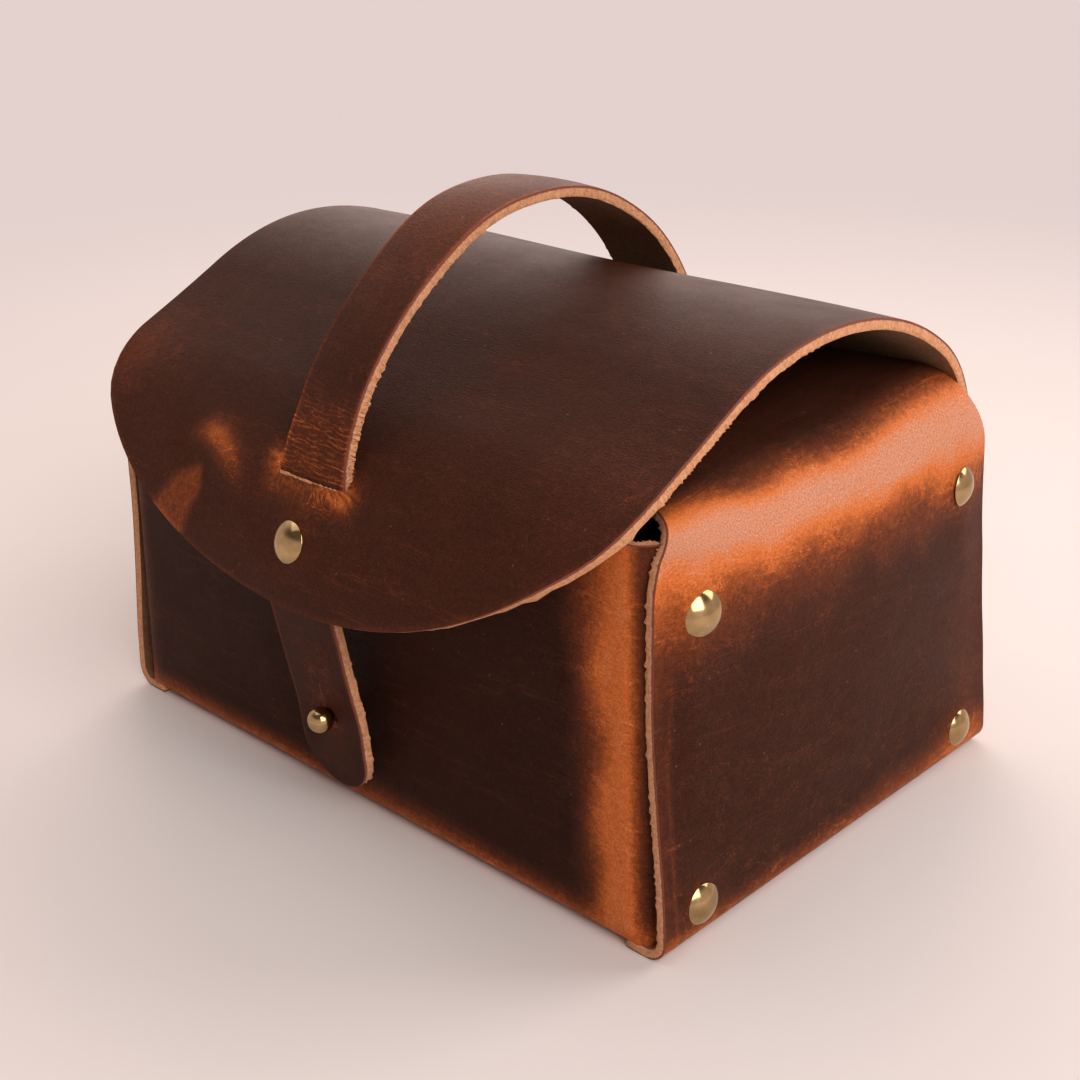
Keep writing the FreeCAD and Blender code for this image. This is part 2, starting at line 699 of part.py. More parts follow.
# Tuck flap: the rest of an end panel's bend, then a flat flap that narrows to rounded tip corners
def make_flap():
    body = new_body("end_flap_right")
    flap_z = f"({flap_axis_z} + Sizes.flap_bend)"
    tip_x = f"({flap_axis_x} - Sizes.flap_reach)"
    section = new_sketch(body, "YZ_Plane", "flap_section")
    section.setExpression("AttachmentOffset.Base.z", tip_x)
    under = f"({flap_z} - Sizes.leather)"
    polygon(section, [(f"-{root_front}", under), (root_back, under),
                      (root_back, flap_z), (f"-{root_front}", flap_z)])
    path = fold_path(body, "XZ_Plane", "flap_fold", (tip_x, flap_z), "0", [
        ("run", "Sizes.flap_reach"),
        ("bend", "Sizes.flap_bend", "-(Sizes.flap_turn / 2 - Sizes.fold_gap / Sizes.flap_bend * 180 / pi)")])
    strip(body, "flap_strip", path, section)
    sides = new_sketch(body, "XY_Plane", "flap_sides")
    split_x = f"({flap_axis_x} + cos({split_angle}) * Sizes.flap_bend)"
    wide = "Sizes.corner_bend"
    for sign, root in (("-", root_front), ("", root_back)):
        polygon(sides, [(split_x, f"{sign}{root}"), (tip_x, f"{sign}({root} - Sizes.flap_taper)"),
                        (f"({tip_x} - {wide})", f"{sign}({root} - Sizes.flap_taper)"),
                        (f"({tip_x} - {wide})", f"{sign}({root} + {wide})"),
                        (split_x, f"{sign}({root} + {wide})")])
    doc.recompute()
    taper = body.newObject("PartDesign::Pocket", "flap_taper_cut")
    taper.Profile = sides
    taper.Type = "ThroughAll"
    taper.Midplane = True
    doc.recompute()
    tip = number(tip_x)
    corners = [f"Edge{index + 1}" for index, edge in enumerate(taper.Shape.Edges)
               if all(abs(vertex.X - tip) < 0.01 for vertex in edge.Vertexes)
               and abs(edge.Vertexes[0].Z - edge.Vertexes[-1].Z) > size("leather") / 2]
    rounded = body.newObject("PartDesign::Fillet", "flap_corners")
    rounded.Base = (taper, corners)
    rounded.setExpression("Radius", "Sizes.flap_corner")
    doc.recompute()
    other = doc.addObject("Part::Mirroring", "end_flap_left")
    other.Source = body
    other.Normal = Vector(1, 0, 0)
    return body, other


# Lid: the hide's strip along the lid line, with a rounded front edge, two strap slots and two rivet holes
def nose_outline(sketch):
    """What the rounded front edge cuts away: below two shoulder arcs and the large nose arc between them."""
    shoulder_x = f"({half_lid} + Sizes.nose_lead - Sizes.shoulder_radius)"
    outside = f"({half_lid} + Sizes.shoulder_radius)"
    nose_z = f"({tip_height} + Sizes.nose_radius)"
    below = f"({tip_height} - Sizes.shoulder_radius)"
    shoulder = size("shoulder_radius")
    nose = size("nose_radius")
    across = number(shoulder_x)
    wide = across + shoulder
    out, high, low = number(outside), number(nose_z), number(below)
    level = high - math.sqrt((nose - shoulder) ** 2 - across ** 2)
    meeting = math.atan2(level - high, across)

    def arc(x, z, radius, first, last):
        circle = Part.Circle(Vector(x, z, 0), Vector(0, 0, 1), radius)
        return sketch.addGeometry(Part.ArcOfCircle(circle, first, last))

    left = arc(-across, level, shoulder, math.pi, math.pi - meeting)
    middle = arc(0, high, nose, -math.pi - meeting, meeting)
    right = arc(across, level, shoulder, meeting, 0)
    corners = [(wide, level), (out, level), (out, low), (-out, low), (-out, level), (-wide, level)]
    lines = [sketch.addGeometry(Part.LineSegment(Vector(*first, 0), Vector(*second, 0)))
             for first, second in zip(corners, corners[1:])]
    sketch.addConstraint(Sketcher.Constraint("Tangent", left, 2, middle, 1))
    sketch.addConstraint(Sketcher.Constraint("Tangent", middle, 2, right, 1))
    loop = [right] + lines + [left]
    for first, second in zip(loop, loop[1:]):
        sketch.addConstraint(Sketcher.Constraint("Coincident", first, 2, second, 1))
    for index, line in enumerate(lines):
        sketch.addConstraint(Sketcher.Constraint("Vertical" if index % 2 else "Horizontal", line))
    drive(sketch, "Radius", (left,), "Sizes.shoulder_radius")
    drive(sketch, "Radius", (right,), "Sizes.shoulder_radius")
    drive(sketch, "Radius", (middle,), "Sizes.nose_radius")
    sketch.addConstraint(Sketcher.Constraint("PointOnObject", middle, 3, -2))
    pin(sketch, middle, 3, "Y", nose_z)
    pin(sketch, right, 3, "X", shoulder_x)
    pin(sketch, left, 3, "X", f"-{shoulder_x}")
    sketch.addConstraint(Sketcher.Constraint("Horizontal", right, 2, right, 3))
    sketch.addConstraint(Sketcher.Constraint("Horizontal", left, 1, left, 3))
    pin(sketch, lines[1], 1, "X", outside)
    pin(sketch, lines[3], 1, "X", f"-{outside}")
    pin(sketch, lines[2], 1, "Y", below)


def slot_cutter(name, first, last):
    """The strap's own way through the lid, over some of its steps, with a little room all round."""
    legs = strap_line.legs
    way = FoldLine(legs[first]["start"], legs[first]["heading"], strap_steps[first:last])
    room = size("slot_gap")
    return extruded(name, way.band(room, strap + room), "Sizes.strap_width + 2 * Sizes.slot_gap")


def make_lid():
    body = new_body("lid_hide")
    section = new_sketch(body, "XY_Plane", "lid_section")
    section.AttachmentOffset = Placement(Vector(0, 0, 0), Rotation(Vector(1, 0, 0), size("back_lean")))
    section.setExpression("AttachmentOffset.Base.y", lid_start_y)
    section.setExpression("AttachmentOffset.Base.z", lid_start_z)
    section.setExpression("AttachmentOffset.Rotation.Angle", "Sizes.back_lean * 1 deg")
    polygon(section, [(f"-{half_lid}", "-Sizes.leather"), (half_lid, "-Sizes.leather"),
                      (half_lid, "0"), (f"-{half_lid}", "0")])
    path = fold_path(body, "YZ_Plane", "lid_fold", (lid_start_y, lid_start_z), at_fold, lid_steps)
    strip(body, "lid_strip", path, section)
    outline = new_sketch(body, "XZ_Plane", "nose_outline")
    nose_outline(outline)
    doc.recompute()
    nose = body.newObject("PartDesign::Pocket", "nose")
    nose.Profile = outline
    nose.Type = "ThroughAll"
    nose.Reversed = True
    doc.recompute()
    tools = [slot_cutter("front_slot_way", 3, 6), slot_cutter("rear_slot_way", 7, 9)]
    tools += [rivet_hole(f"lid_hole_{index}", place) for index, place in enumerate(strap_places)]
    return cut("lid", body, tools)


# Strap: one strip along the strap line, with a hole for each of its two rivets
def make_strap():
    whole = extruded("strap_strip", strap_line.band(0, strap), "Sizes.strap_width")
    holes = [rivet_hole(f"strap_hole_{index}", place) for index, place in enumerate(strap_places)]
    return cut("handle_strap", whole, holes)


# Tab: the strap's loose end, round at the bottom, with a buttonhole and a slit above it
def make_tab():
    body = new_body("closure_tab")
    half = "(Sizes.strap_width / 2)"
    gap = "Sizes.fold_gap"
    outline = new_sketch(body, "XZ_Plane", "tab_outline")
    middle = size("strap_width") / 2
    round_z = -(hinge_run + size("tab_tail") - middle)
    top = -size("fold_gap")
    left = outline.addGeometry(Part.LineSegment(Vector(-middle, top, 0), Vector(-middle, round_z, 0)))
    circle = Part.Circle(Vector(0, round_z, 0), Vector(0, 0, 1), middle)
    end = outline.addGeometry(Part.ArcOfCircle(circle, math.pi, 2 * math.pi))
    right = outline.addGeometry(Part.LineSegment(Vector(middle, round_z, 0), Vector(middle, top, 0)))
    head = outline.addGeometry(Part.LineSegment(Vector(middle, top, 0), Vector(-middle, top, 0)))
    outline.addConstraint(Sketcher.Constraint("Tangent", left, 2, end, 1))
    outline.addConstraint(Sketcher.Constraint("Tangent", end, 2, right, 1))
    outline.addConstraint(Sketcher.Constraint("Coincident", right, 2, head, 1))
    outline.addConstraint(Sketcher.Constraint("Coincident", head, 2, left, 1))
    outline.addConstraint(Sketcher.Constraint("Vertical", left))
    outline.addConstraint(Sketcher.Constraint("Horizontal", head))
    pin(outline, left, 1, "X", f"-{half}")
    pin(outline, right, 2, "X", half)
    pin(outline, head, 1, "Y", f"-{gap}")
    outline.addConstraint(Sketcher.Constraint("PointOnObject", end, 3, -2))
    pin(outline, end, 3, "Y", round_z)
    pad = body.newObject("PartDesign::Pad", "tab_leather")
    pad.Profile = outline
    pad.setExpression("Length", "Sizes.strap_leather")
    pad.Reversed = True
    doc.recompute()

    eye = new_sketch(body, "XZ_Plane", "buttonhole")
    ring = eye.addGeometry(Part.Circle(Vector(0, -hinge_run, 0), Vector(0, 0, 1), size("ball_diameter") / 2))
    drive(eye, "Radius", (ring,), "Sizes.ball_diameter / 2 + Sizes.ball_clearance")
    eye.addConstraint(Sketcher.Constraint("PointOnObject", ring, 3, -2))
    pin(eye, ring, 3, "Y", -hinge_run)
    slit = new_sketch(body, "XZ_Plane", "slit")
    slit_top = -hinge_run + size("slit_length")
    side = "(Sizes.slit_width / 2)"
    polygon(slit, [(f"-{side}", -hinge_run), (side, -hinge_run), (side, slit_top), (f"-{side}", slit_top)])
    for name, profile in (("buttonhole_cut", eye), ("slit_cut", slit)):
        doc.recompute()
        pocket = body.newObject("PartDesign::Pocket", name)
        pocket.Profile = profile
        pocket.Type = "ThroughAll"
        pocket.Midplane = True
        doc.recompute()
    body.Placement = Placement(side_point(tab_hinge), Rotation(Vector(1, 0, 0), tab_heading - 90))
    return body


# Brass: double-cap rivets in two halves, and a ball stud with the screw that holds it from inside
def make_brass():
    cap_radius = "Sizes.cap_diameter / 2"
    post_radius = "Sizes.post_diameter / 2"
    end_stack = "(Sizes.leather + (Sizes.layer_gap + Sizes.leather) * cos(Sizes.end_lean))"
    strap_stack = "(Sizes.leather + Sizes.seat_gap + Sizes.strap_leather)"

    def hollow_stack(lid_radius):
        """Lid and strap together, and the hollow that a flat cap leaves on the strap's curved inner face."""
        inner = f"({lid_radius} - {strap_stack})"
        return f"({strap_stack} + {inner} - sqrt(pow({inner}; 2) - pow({cap_radius}; 2)))"

    dome = [(cap_radius, "0"), (cap_radius, "Sizes.cap_rim"), ("0", "Sizes.cap_height")]
    cap = turned("rivet_cap", [("0", "0")] + dome)

    def post(name, stack):
        return turned(name, [("0", f"-{stack}"), (post_radius, f"-{stack}"), (post_radius, "0")] + dome)

    end_post = post("end_post", end_stack)
    nodes = []
    for side, places in end_places.items():
        end_backs = [behind(place, number(end_stack)) for place in places]
        nodes.append(copies(f"end_rivet_caps_{side}", [cap] * len(places), places))
        nodes.append(copies(f"end_rivet_posts_{side}", [end_post] * len(places), end_backs))
    strap_stacks = [hollow_stack("Sizes.lid_front_radius"), hollow_stack("Sizes.lid_back_radius")]
    strap_posts = [post(f"strap_post_{index}", stack) for index, stack in enumerate(strap_stacks)]
    strap_backs = [behind(place, number(stack)) for place, stack in zip(strap_places, strap_stacks)]
    nodes.append(copies("strap_rivet_caps", [cap] * len(strap_places), strap_places))
    nodes.append(copies("strap_rivet_posts", strap_posts, strap_backs))

    neck = "Sizes.neck_diameter / 2"
    ball = "Sizes.ball_diameter / 2"
    flange = "Sizes.flange_diameter / 2"
    stud = turned("closure_stud", [("0", "0"), (flange, "0"), (flange, "Sizes.flange_thickness"),
                                   (neck, "Sizes.flange_thickness"),
                                   (neck, f"Sizes.stud_reach - sqrt(pow({ball}; 2) - pow({neck}; 2))"),
                                   ("0", f"Sizes.stud_reach + {ball}")])
    stud.Placement = stud_place
    head = "Sizes.screw_head_diameter / 2"
    screw = turned("stud_screw", [("0", "-Sizes.leather"), (post_radius, "-Sizes.leather"),
                                  (post_radius, "0"), (head, "0"),
                                  (head, "Sizes.screw_head_thickness / 2"),
                                  ("0", "Sizes.screw_head_thickness")])
    screw.Placement = behind(stud_place, size("leather"))
    return nodes + [stud, screw]


tub = make_tub()
flap_right, flap_left = make_flap()
nodes = [tub, flap_right, flap_left, make_lid(), make_strap(), make_tab()] + make_brass()
doc.recompute()

faults = [item.Name for item in doc.Objects if "Invalid" in item.State or "Error" in item.State]
faults += [node.Label for node in nodes if node.Shape.isNull() or not node.Shape.isValid()]
if faults:
    raise RuntimeError(f"failed pieces: {faults}")

os.makedirs("parts", exist_ok=True)
for node in nodes:
    node.Shape.exportStep(f"parts/{node.Label}.step")
    box = node.Shape.BoundBox
    print(f"{node.Label}: {len(node.Shape.Solids)} solids, {node.Shape.Volume:.0f} mm3,",
          f"x {box.XMin:.1f} {box.XMax:.1f} y {box.YMin:.1f} {box.YMax:.1f} z {box.ZMin:.1f} {box.ZMax:.1f}")
hinges = {"lid": (fold_back, fold_height),
          "flap": (f"{flap_axis_x} + cos({split_angle}) * Sizes.flap_bend", split_height),
          "tab": (str(tab_hinge.x), str(tab_hinge.y))}
for name, place in hinges.items():
    print(f"{name} hinge:", " ".join(f"{number(item):.3f}" for item in place))
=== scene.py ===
import math

import bpy
import numpy as np
from mathutils import Matrix, Vector


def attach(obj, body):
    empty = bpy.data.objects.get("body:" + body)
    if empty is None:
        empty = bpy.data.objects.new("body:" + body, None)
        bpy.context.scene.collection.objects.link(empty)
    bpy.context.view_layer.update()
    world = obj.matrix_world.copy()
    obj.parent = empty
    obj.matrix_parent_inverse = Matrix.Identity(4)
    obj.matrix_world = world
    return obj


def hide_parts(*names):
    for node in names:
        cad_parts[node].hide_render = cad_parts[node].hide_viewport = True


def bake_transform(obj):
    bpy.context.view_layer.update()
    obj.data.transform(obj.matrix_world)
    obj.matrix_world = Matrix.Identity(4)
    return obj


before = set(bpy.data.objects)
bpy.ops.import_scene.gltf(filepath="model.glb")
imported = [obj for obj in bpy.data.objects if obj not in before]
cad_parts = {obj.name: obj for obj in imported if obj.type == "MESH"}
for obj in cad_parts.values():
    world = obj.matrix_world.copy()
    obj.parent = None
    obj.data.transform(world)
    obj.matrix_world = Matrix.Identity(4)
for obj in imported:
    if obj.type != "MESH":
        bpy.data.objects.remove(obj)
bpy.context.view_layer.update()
mm = 0.001

# sizes of the hide that several pieces share, in millimetres and degrees
hide = {
    "thickness": 2.6,
    "halfLength": 108.0,
    "halfDepth": 74.5,
    "wallHeight": 106.0,
    "foldHeight": 94.0,
    "endAngle": 2.0,          # the end panels lean in
    "backAngle": 4.6,         # the back wall leans in
    "baseBend": 6.0,
    "cornerBend": 9.0,
    "wingLength": 36.0,
    "layerGap": 0.3,
}
endLean = math.tan(math.radians(hide["endAngle"]))
backLean = math.tan(math.radians(hide["backAngle"]))
cornerArc = hide["cornerBend"] * math.pi / 2
flatAtBase = (hide["halfLength"] - endLean * hide["baseBend"] - hide["thickness"]
              - hide["layerGap"] - hide["cornerBend"])


# flat half-width of a wall between its corner bends, which shrinks with height as the ends lean in
def flatHalf(height):
    return flatAtBase - endLean * (np.maximum(height, hide["baseBend"]) - hide["baseBend"])


# length that the bend along the base takes off a wall that leans in by an angle
def footRun(lean):
    return hide["baseBend"] * math.tan(math.radians((90 + lean) / 2))


# 0 at low, 1 at high, and a smooth cubic between
def ease(low, high, value):
    t = np.clip((value - low) / (high - low), 0, 1)
    return t * t * (3 - 2 * t)


# Gaussian band of a radius about a middle value
def band(a, middle, radius):
    return np.exp(-((a - middle) / radius) ** 2)


# Gaussian hill of radii ra, rb about (ca, cb), its long side turned by degrees
def hill(a, b, ca, cb, ra, rb, turn=0.0):
    c, s = math.cos(math.radians(turn)), math.sin(math.radians(turn))
    p, q = (a - ca) * c + (b - cb) * s, (b - cb) * c - (a - ca) * s
    return np.exp(-(p / ra) ** 2 - (q / rb) ** 2)


# soft brush line through points of across, along, radius and strength: the strength there, falling as a
# Gaussian of the distance to the nearest piece of the line
def stroke(a, b, points):
    best = np.zeros(np.broadcast(a, b).shape)
    for (ax, ay, ar, aw), (bx, by, br, bw) in zip(points, points[1:]):
        dx, dy = bx - ax, by - ay
        t = np.clip(((a - ax) * dx + (b - ay) * dy) / (dx * dx + dy * dy), 0, 1)
        far = np.hypot(a - ax - t * dx, b - ay - t * dy) / (ar + (br - ar) * t)
        best = np.maximum(best, (aw + (bw - aw) * t) * np.exp(-far ** 2))
    return best


# convex patch with a soft rim: 1 well inside every side of its outline and 0 outside, by the distance to the
# nearest side
def facet(a, b, corners, soft):
    inside = np.full(np.broadcast(a, b).shape, 1e3)
    for (ax, ay), (bx, by) in zip(corners, corners[1:] + corners[:1]):
        dx, dy = bx - ax, by - ay
        inside = np.minimum(inside, (dx * (b - ay) - dy * (a - ax)) / math.hypot(dx, dy))
    return ease(-soft, soft, inside)


# sum of sine waves in seeded directions, with lengths near wave, between about -1 and 1
def ripple(a, b, wave, seed, count=7):
    rng = np.random.default_rng(seed)
    total = np.zeros(np.broadcast(a, b).shape)
    draws = [rng.uniform(low, high, count) for low, high in ((0, np.pi), (0.6, 1.7), (0, 2 * np.pi))]
    for angle, stretch, phase in zip(*draws):
        k = 2 * np.pi / (wave * stretch)
        total += np.sin(k * (np.cos(angle) * a + np.sin(angle) * b) + phase)
    return total / math.sqrt(count) / 1.4


# break points joined by even steps no longer than the step given for each gap
def spread(points, steps):
    runs = [np.linspace(low, high, max(2, int(math.ceil((high - low) / step)) + 1))[:-1]
            for low, high, step in zip(points, points[1:], steps)]
    return np.concatenate(runs + [[points[-1]]])


# running mean over a window of samples, with the ends held
def runningMean(values, window=9):
    padded = np.pad(values, window // 2, mode="edge")
    return np.convolve(padded, np.ones(window) / window, mode="valid")


# plane line of straight runs and tangent bends, as legs with their own start, heading and curvature
def foldLine(start, heading, steps):
    legs, point, angle, done = [], np.array(start, float), math.radians(heading), 0.0
    for step in steps:
        turn = math.radians(step[2]) if step[0] == "bend" else 0.0
        bend = math.copysign(1 / step[1], turn) if step[0] == "bend" else 0.0
        length = step[1] * abs(turn) if step[0] == "bend" else step[1]
        legs.append({"bend": bend, "start": point, "angle": angle, "from": done})
        point = np.array(stepAlong(legs[-1], length))
        angle += turn
        done += length
    return {"legs": legs, "length": done}


# point at a distance along one leg: on a bend of curvature k the heading grows by k times the distance, and
# the point moves by the integral of its cosine and sine
def stepAlong(leg, distance):
    a, k, start = leg["angle"], leg["bend"], leg["start"]
    if k:
        return (start[0] + (np.sin(a + k * distance) - math.sin(a)) / k,
                start[1] - (np.cos(a + k * distance) - math.cos(a)) / k)
    return start[0] + math.cos(a) * distance, start[1] + math.sin(a) * distance


# points and headings at distances along a fold line
def walk(line, distance):
    across, up, heading = (np.zeros(distance.shape) for _ in range(3))
    for leg in line["legs"]:
        on = distance >= leg["from"] - 1e-9
        past = distance[on] - leg["from"]
        across[on], up[on] = stepAlong(leg, past)
        heading[on] = leg["angle"] + leg["bend"] * past
    return across, up, heading


def unit(v):
    return v / np.maximum(np.linalg.norm(v, axis=-1, keepdims=True), 1e-12)


# outward normals of a grid of points, as the cross product of its two directions
def gridNormals(place, flip):
    return unit(np.cross(np.gradient(place, axis=0), np.gradient(place, axis=1))) * (-1 if flip else 1)


rawEdge = {
    # depth as a share of the thickness, how far the edge stands out there, and how ragged it is
    "rows": [(0.05, 0.10, 0.01), (0.15, 0.20, 0.02), (0.30, 0.25, 0.04), (0.48, 0.27, 0.07),
             (0.66, 0.26, 0.11), (0.82, 0.24, 0.19), (0.94, 0.20, 0.31)],
    "waves": (9.0, 0.3),      # length and strength of the long waves, the fray and the fray of one row
    "fray": (1.1, 1.4),
    "rowFray": (0.66, 1.3),
    "limits": (-0.3, 0.7),
    "bareDepth": 1.4,         # depth whose fibres show where the grain is cut away
}


# rows of a raw edge: points between the outer and the inner border, moved out by how far that row stands out
# and by ripples times how ragged it is
def edgeRows(outer, inner, outward, along, across, seed):
    (wave, waveShare), (fray, frayShare) = rawEdge["waves"], rawEdge["fray"]
    rowFray, rowShare = rawEdge["rowFray"]
    shared = waveShare * ripple(along, across, wave, seed + 1)
    shared = shared + frayShare * ripple(along, across, fray, seed + 2)
    rows = []
    for number, (depth, stand, ragged) in enumerate(rawEdge["rows"]):
        rough = ragged * (shared + rowShare * ripple(along, across, rowFray, seed + 3 + number))
        body = outer * (1 - depth) + inner * depth
        rows.append(body + outward * (stand + np.clip(rough, *rawEdge["limits"]))[:, None])
    return rows


# cell edges that only one cell has, as their first and last points
def freeEdges(cells, count):
    first, last = cells.T.ravel(), np.roll(cells, -1, 1).T.ravel()
    free = ~np.isin(first * count + last, last * count + first)
    return first[free], last[free]


# leather sheet: a grid of outer points, the same grid moved in by the thickness, and a raw edge of several
# rows round every free border
def leatherSheet(name, place, flat, wear, crease, seed, flip=False, keep=None, shift=None, plainEdge=None,
                 thick=hide["thickness"], bare=None, turnedUp=0.0):
    rows, cols = place.shape[:2]
    bare = np.zeros((rows, cols), bool) if bare is None else bare
    normal = gridNormals(place, flip)
    inner = place - normal * np.broadcast_to(thick, (rows, cols))[..., None]
    if shift is not None:
        inner = inner + unit(np.gradient(place, axis=0)) * shift[..., None]
    place = place + normal * np.broadcast_to(turnedUp, (rows, cols))[..., None]
    count = rows * cols
    index = np.arange(count).reshape(rows, cols)
    cells = np.stack([index[:-1, :-1], index[1:, :-1], index[1:, 1:], index[:-1, 1:]], -1)
    cells = cells[keep] if keep is not None else cells.reshape(-1, 4)
    if flip:
        cells = cells[:, ::-1]
    first, last = freeEdges(cells, count)
    outerPoints, innerPoints, normals = (item.reshape(-1, 3) for item in (place, inner, normal))
    flatPoints = flat.reshape(-1, 2)

    outward = np.zeros((count, 3))
    side = unit(np.cross(outerPoints[last] - outerPoints[first], normals[first]))
    np.add.at(outward, first, side)
    np.add.at(outward, last, side)
    border = np.unique(first)
    outward = unit(outward[border])
    if plainEdge is not None:
        outward = outward * ~plainEdge.reshape(-1, 1)[border]
    rim = edgeRows(outerPoints[border], innerPoints[border], outward, *flatPoints[border].T, seed)
    layers = len(rim)

    ladder = np.full((layers + 2, count), -1)
    ladder[0, border] = border
    ladder[-1, border] = border + count
    ladder[1:-1, border] = 2 * count + np.arange(layers)[:, None] * len(border) + np.arange(len(border))
    rungs = [ladder[:-1, last], ladder[:-1, first], ladder[1:, first], ladder[1:, last]]
    rungs = np.stack(rungs, -1).reshape(-1, 4)
    faces = np.concatenate([cells, rungs, cells[:, ::-1] + count])
    bareCells = bare.ravel()[cells].all(1)
    finish = np.concatenate([bareCells, np.ones(len(rungs)), np.full(len(cells), 2)]).astype(np.int32)

    # values of the grid's points, given again to the inner side and to each row of the edge
    def everywhere(values):
        return np.concatenate([values, values] + [values[border]] * layers)[used]

    points = np.concatenate([outerPoints, innerPoints] + rim)
    used = np.unique(faces)
    renumber = np.full(len(points), -1)
    renumber[used] = np.arange(len(used))
    edges = np.stack([first, last], -1)
    sharp = np.concatenate([edges, edges + count])
    piece = makeMesh(name, points[used], renumber[faces], renumber[sharp])
    mesh = piece.data
    mesh.polygons.foreach_set("material_index", finish)
    for label, values in (("wear", wear), ("crease", crease)):
        shown = everywhere(np.clip(values, 0, 1).ravel()).astype(np.float32)
        mesh.attributes.new(label, "FLOAT", "POINT").data.foreach_set("value", shown)
    depths = [np.full(len(border), depth * hide["thickness"]) for depth, _, _ in rawEdge["rows"]]
    depths = [rawEdge["bareDepth"] * bare.ravel(), np.full(count, hide["thickness"])] + depths
    blank = np.column_stack([everywhere(flatPoints) + seed * 37.0, np.concatenate(depths)[used]])
    blank = blank.astype(np.float32).ravel()
    mesh.attributes.new("blank", "FLOAT_VECTOR", "POINT").data.foreach_set("vector", blank)
    for material in (grainLeather, edgeLeather, fleshLeather):
        mesh.materials.append(material)
    print(name, len(faces), "faces")
    return piece


# mesh from whole arrays in millimetres, smooth apart from the given sharp edges
def makeMesh(name, points, faces, sharp=None):
    mesh = bpy.data.meshes.new(name)
    mesh.from_pydata((points * mm).tolist(), [], faces if isinstance(faces, list) else faces.tolist())
    mesh.polygons.foreach_set("use_smooth", np.ones(len(mesh.polygons), bool))
    if sharp is not None:
        pairs = np.zeros(len(mesh.edges) * 2, np.int64)
        mesh.edges.foreach_get("vertices", pairs)
        pairs, wanted = (np.sort(item.reshape(-1, 2), 1) @ [len(points), 1] for item in (pairs, sharp))
        mesh.edges.foreach_set("use_edge_sharp", np.isin(pairs, wanted))
    mesh.update()
    return addObject(name, mesh)


# object with the given data, linked into the scene
def addObject(name, data):
    item = bpy.data.objects.new(name, data)
    bpy.context.scene.collection.objects.link(item)
    return item


# fill a shader node's inputs with constants or links
def fill(tree, node, inputs):
    for key, value in inputs.items():
        if isinstance(value, bpy.types.NodeSocket):
            tree.links.new(value, node.inputs[key])
        else:
            node.inputs[key].default_value = value


# place one shader node, set its properties and fill its inputs
def addNode(tree, kind, inputs=None, **properties):
    node = tree.nodes.new("ShaderNode" + kind)
    for key, value in properties.items():
        setattr(node, key, value)
    fill(tree, node, inputs or {})
    return node


def compute(tree, operation, a, b=0.0, c=0.0, clamp=False):
    inputs = {0: a, 1: b, 2: c}
    return addNode(tree, "Math", inputs, operation=operation, use_clamp=clamp).outputs[0]


def times(tree, a, b):
    return compute(tree, "MULTIPLY", a, b)


# a times b, plus c
def timesPlus(tree, a, b, c, clamp=False):
    return compute(tree, "MULTIPLY_ADD", a, b, c, clamp)


def ranged(tree, value, low, high, toLow=0.0, toHigh=1.0):
    inputs = {0: value, 1: low, 2: high, 3: toLow, 4: toHigh}
    return addNode(tree, "MapRange", inputs, interpolation_type="SMOOTHSTEP").outputs[0]


def rampNode(tree, value, stops):
    node = addNode(tree, "ValToRGB", {0: value})
    elements = node.color_ramp.elements
    for _ in range(len(stops) - 2):
        elements.new(0.5)
    for element, (position, colour) in zip(elements, stops):
        element.position = position
        element.color = (*colour, 1.0)
    return node.outputs[0]


def mixed(tree, amount, a, b, blend="MIX"):
    inputs = {0: amount, 6: a, 7: b}
    return addNode(tree, "Mix", inputs, data_type="RGBA", blend_type=blend).outputs[2]


def noise(tree, place, scale, detail=3.0, rough=0.55, distortion=0.0):
    inputs = {"Vector": place, "Scale": scale, "Detail": detail, "Roughness": rough,
              "Distortion": distortion}
    return addNode(tree, "TexNoise", inputs).outputs["Fac"]


# coordinates turned about the leather's normal, in radians, and stretched
def drawnOut(tree, place, stretch, turn=0.0):
    return addNode(tree, "Mapping", {0: place, 2: (0, 0, turn), 3: stretch}).outputs[0]


# noise moved to be centred on zero and scaled
def swing(tree, value, amount):
    return timesPlus(tree, value, amount, -0.5 * amount)


# distance of a noise from its middle value
def offMiddle(tree, value):
    return compute(tree, "ABSOLUTE", compute(tree, "SUBTRACT", value, 0.5))


# thin lines where a noise passes its middle value
def thinLines(tree, value, width):
    return ranged(tree, offMiddle(tree, value), 0.0, width, 1.0, 0.0)


# shader group with inputs and outputs given as label and kind of socket
def newGroup(name, inputs, outputs):
    group = bpy.data.node_groups.new(name, "ShaderNodeTree")
    for way, sockets in (("INPUT", inputs), ("OUTPUT", outputs)):
        for label, kind in sockets.items():
            group.interface.new_socket(label, in_out=way, socket_type="NodeSocket" + kind)
    return group, group.nodes.new("NodeGroupInput").outputs, group.nodes.new("NodeGroupOutput")


pullUpSettings = {
    # scale, detail, roughness and distortion of each noise in the wear, and how much it adds
    "uneven": [(0.018, 4.0, 0.6, 0.5, 0.40), (0.085, 5.0, 0.62, 0.4, 0.36), (0.60, 4.0, 0.65, 0.0, 0.95)],
    "veins": [(0.11, 0.020, 0.26), (0.30, 0.045, 0.19)],    # scale, width, strength
    "scratches": [(0.6, 0.10), (-1.0, 0.14), (2.0, 0.08)],  # turn in radians, stretch
    # colours from unworn to fully worn; the last two stops pale from orange to a pinkish tan, partly the
    # pull-up's own paling and partly a painted sheen
    "ramp": [(0.0, (0.026, 0.0082, 0.0040)), (0.10, (0.047, 0.0148, 0.0084)),
             (0.20, (0.068, 0.0195, 0.0100)), (0.38, (0.135, 0.0330, 0.0125)),
             (0.58, (0.300, 0.0720, 0.0180)), (0.78, (0.620, 0.1480, 0.0290)),
             (0.89, (0.630, 0.1900, 0.0660)), (1.0, (0.590, 0.2420, 0.1400))],
}
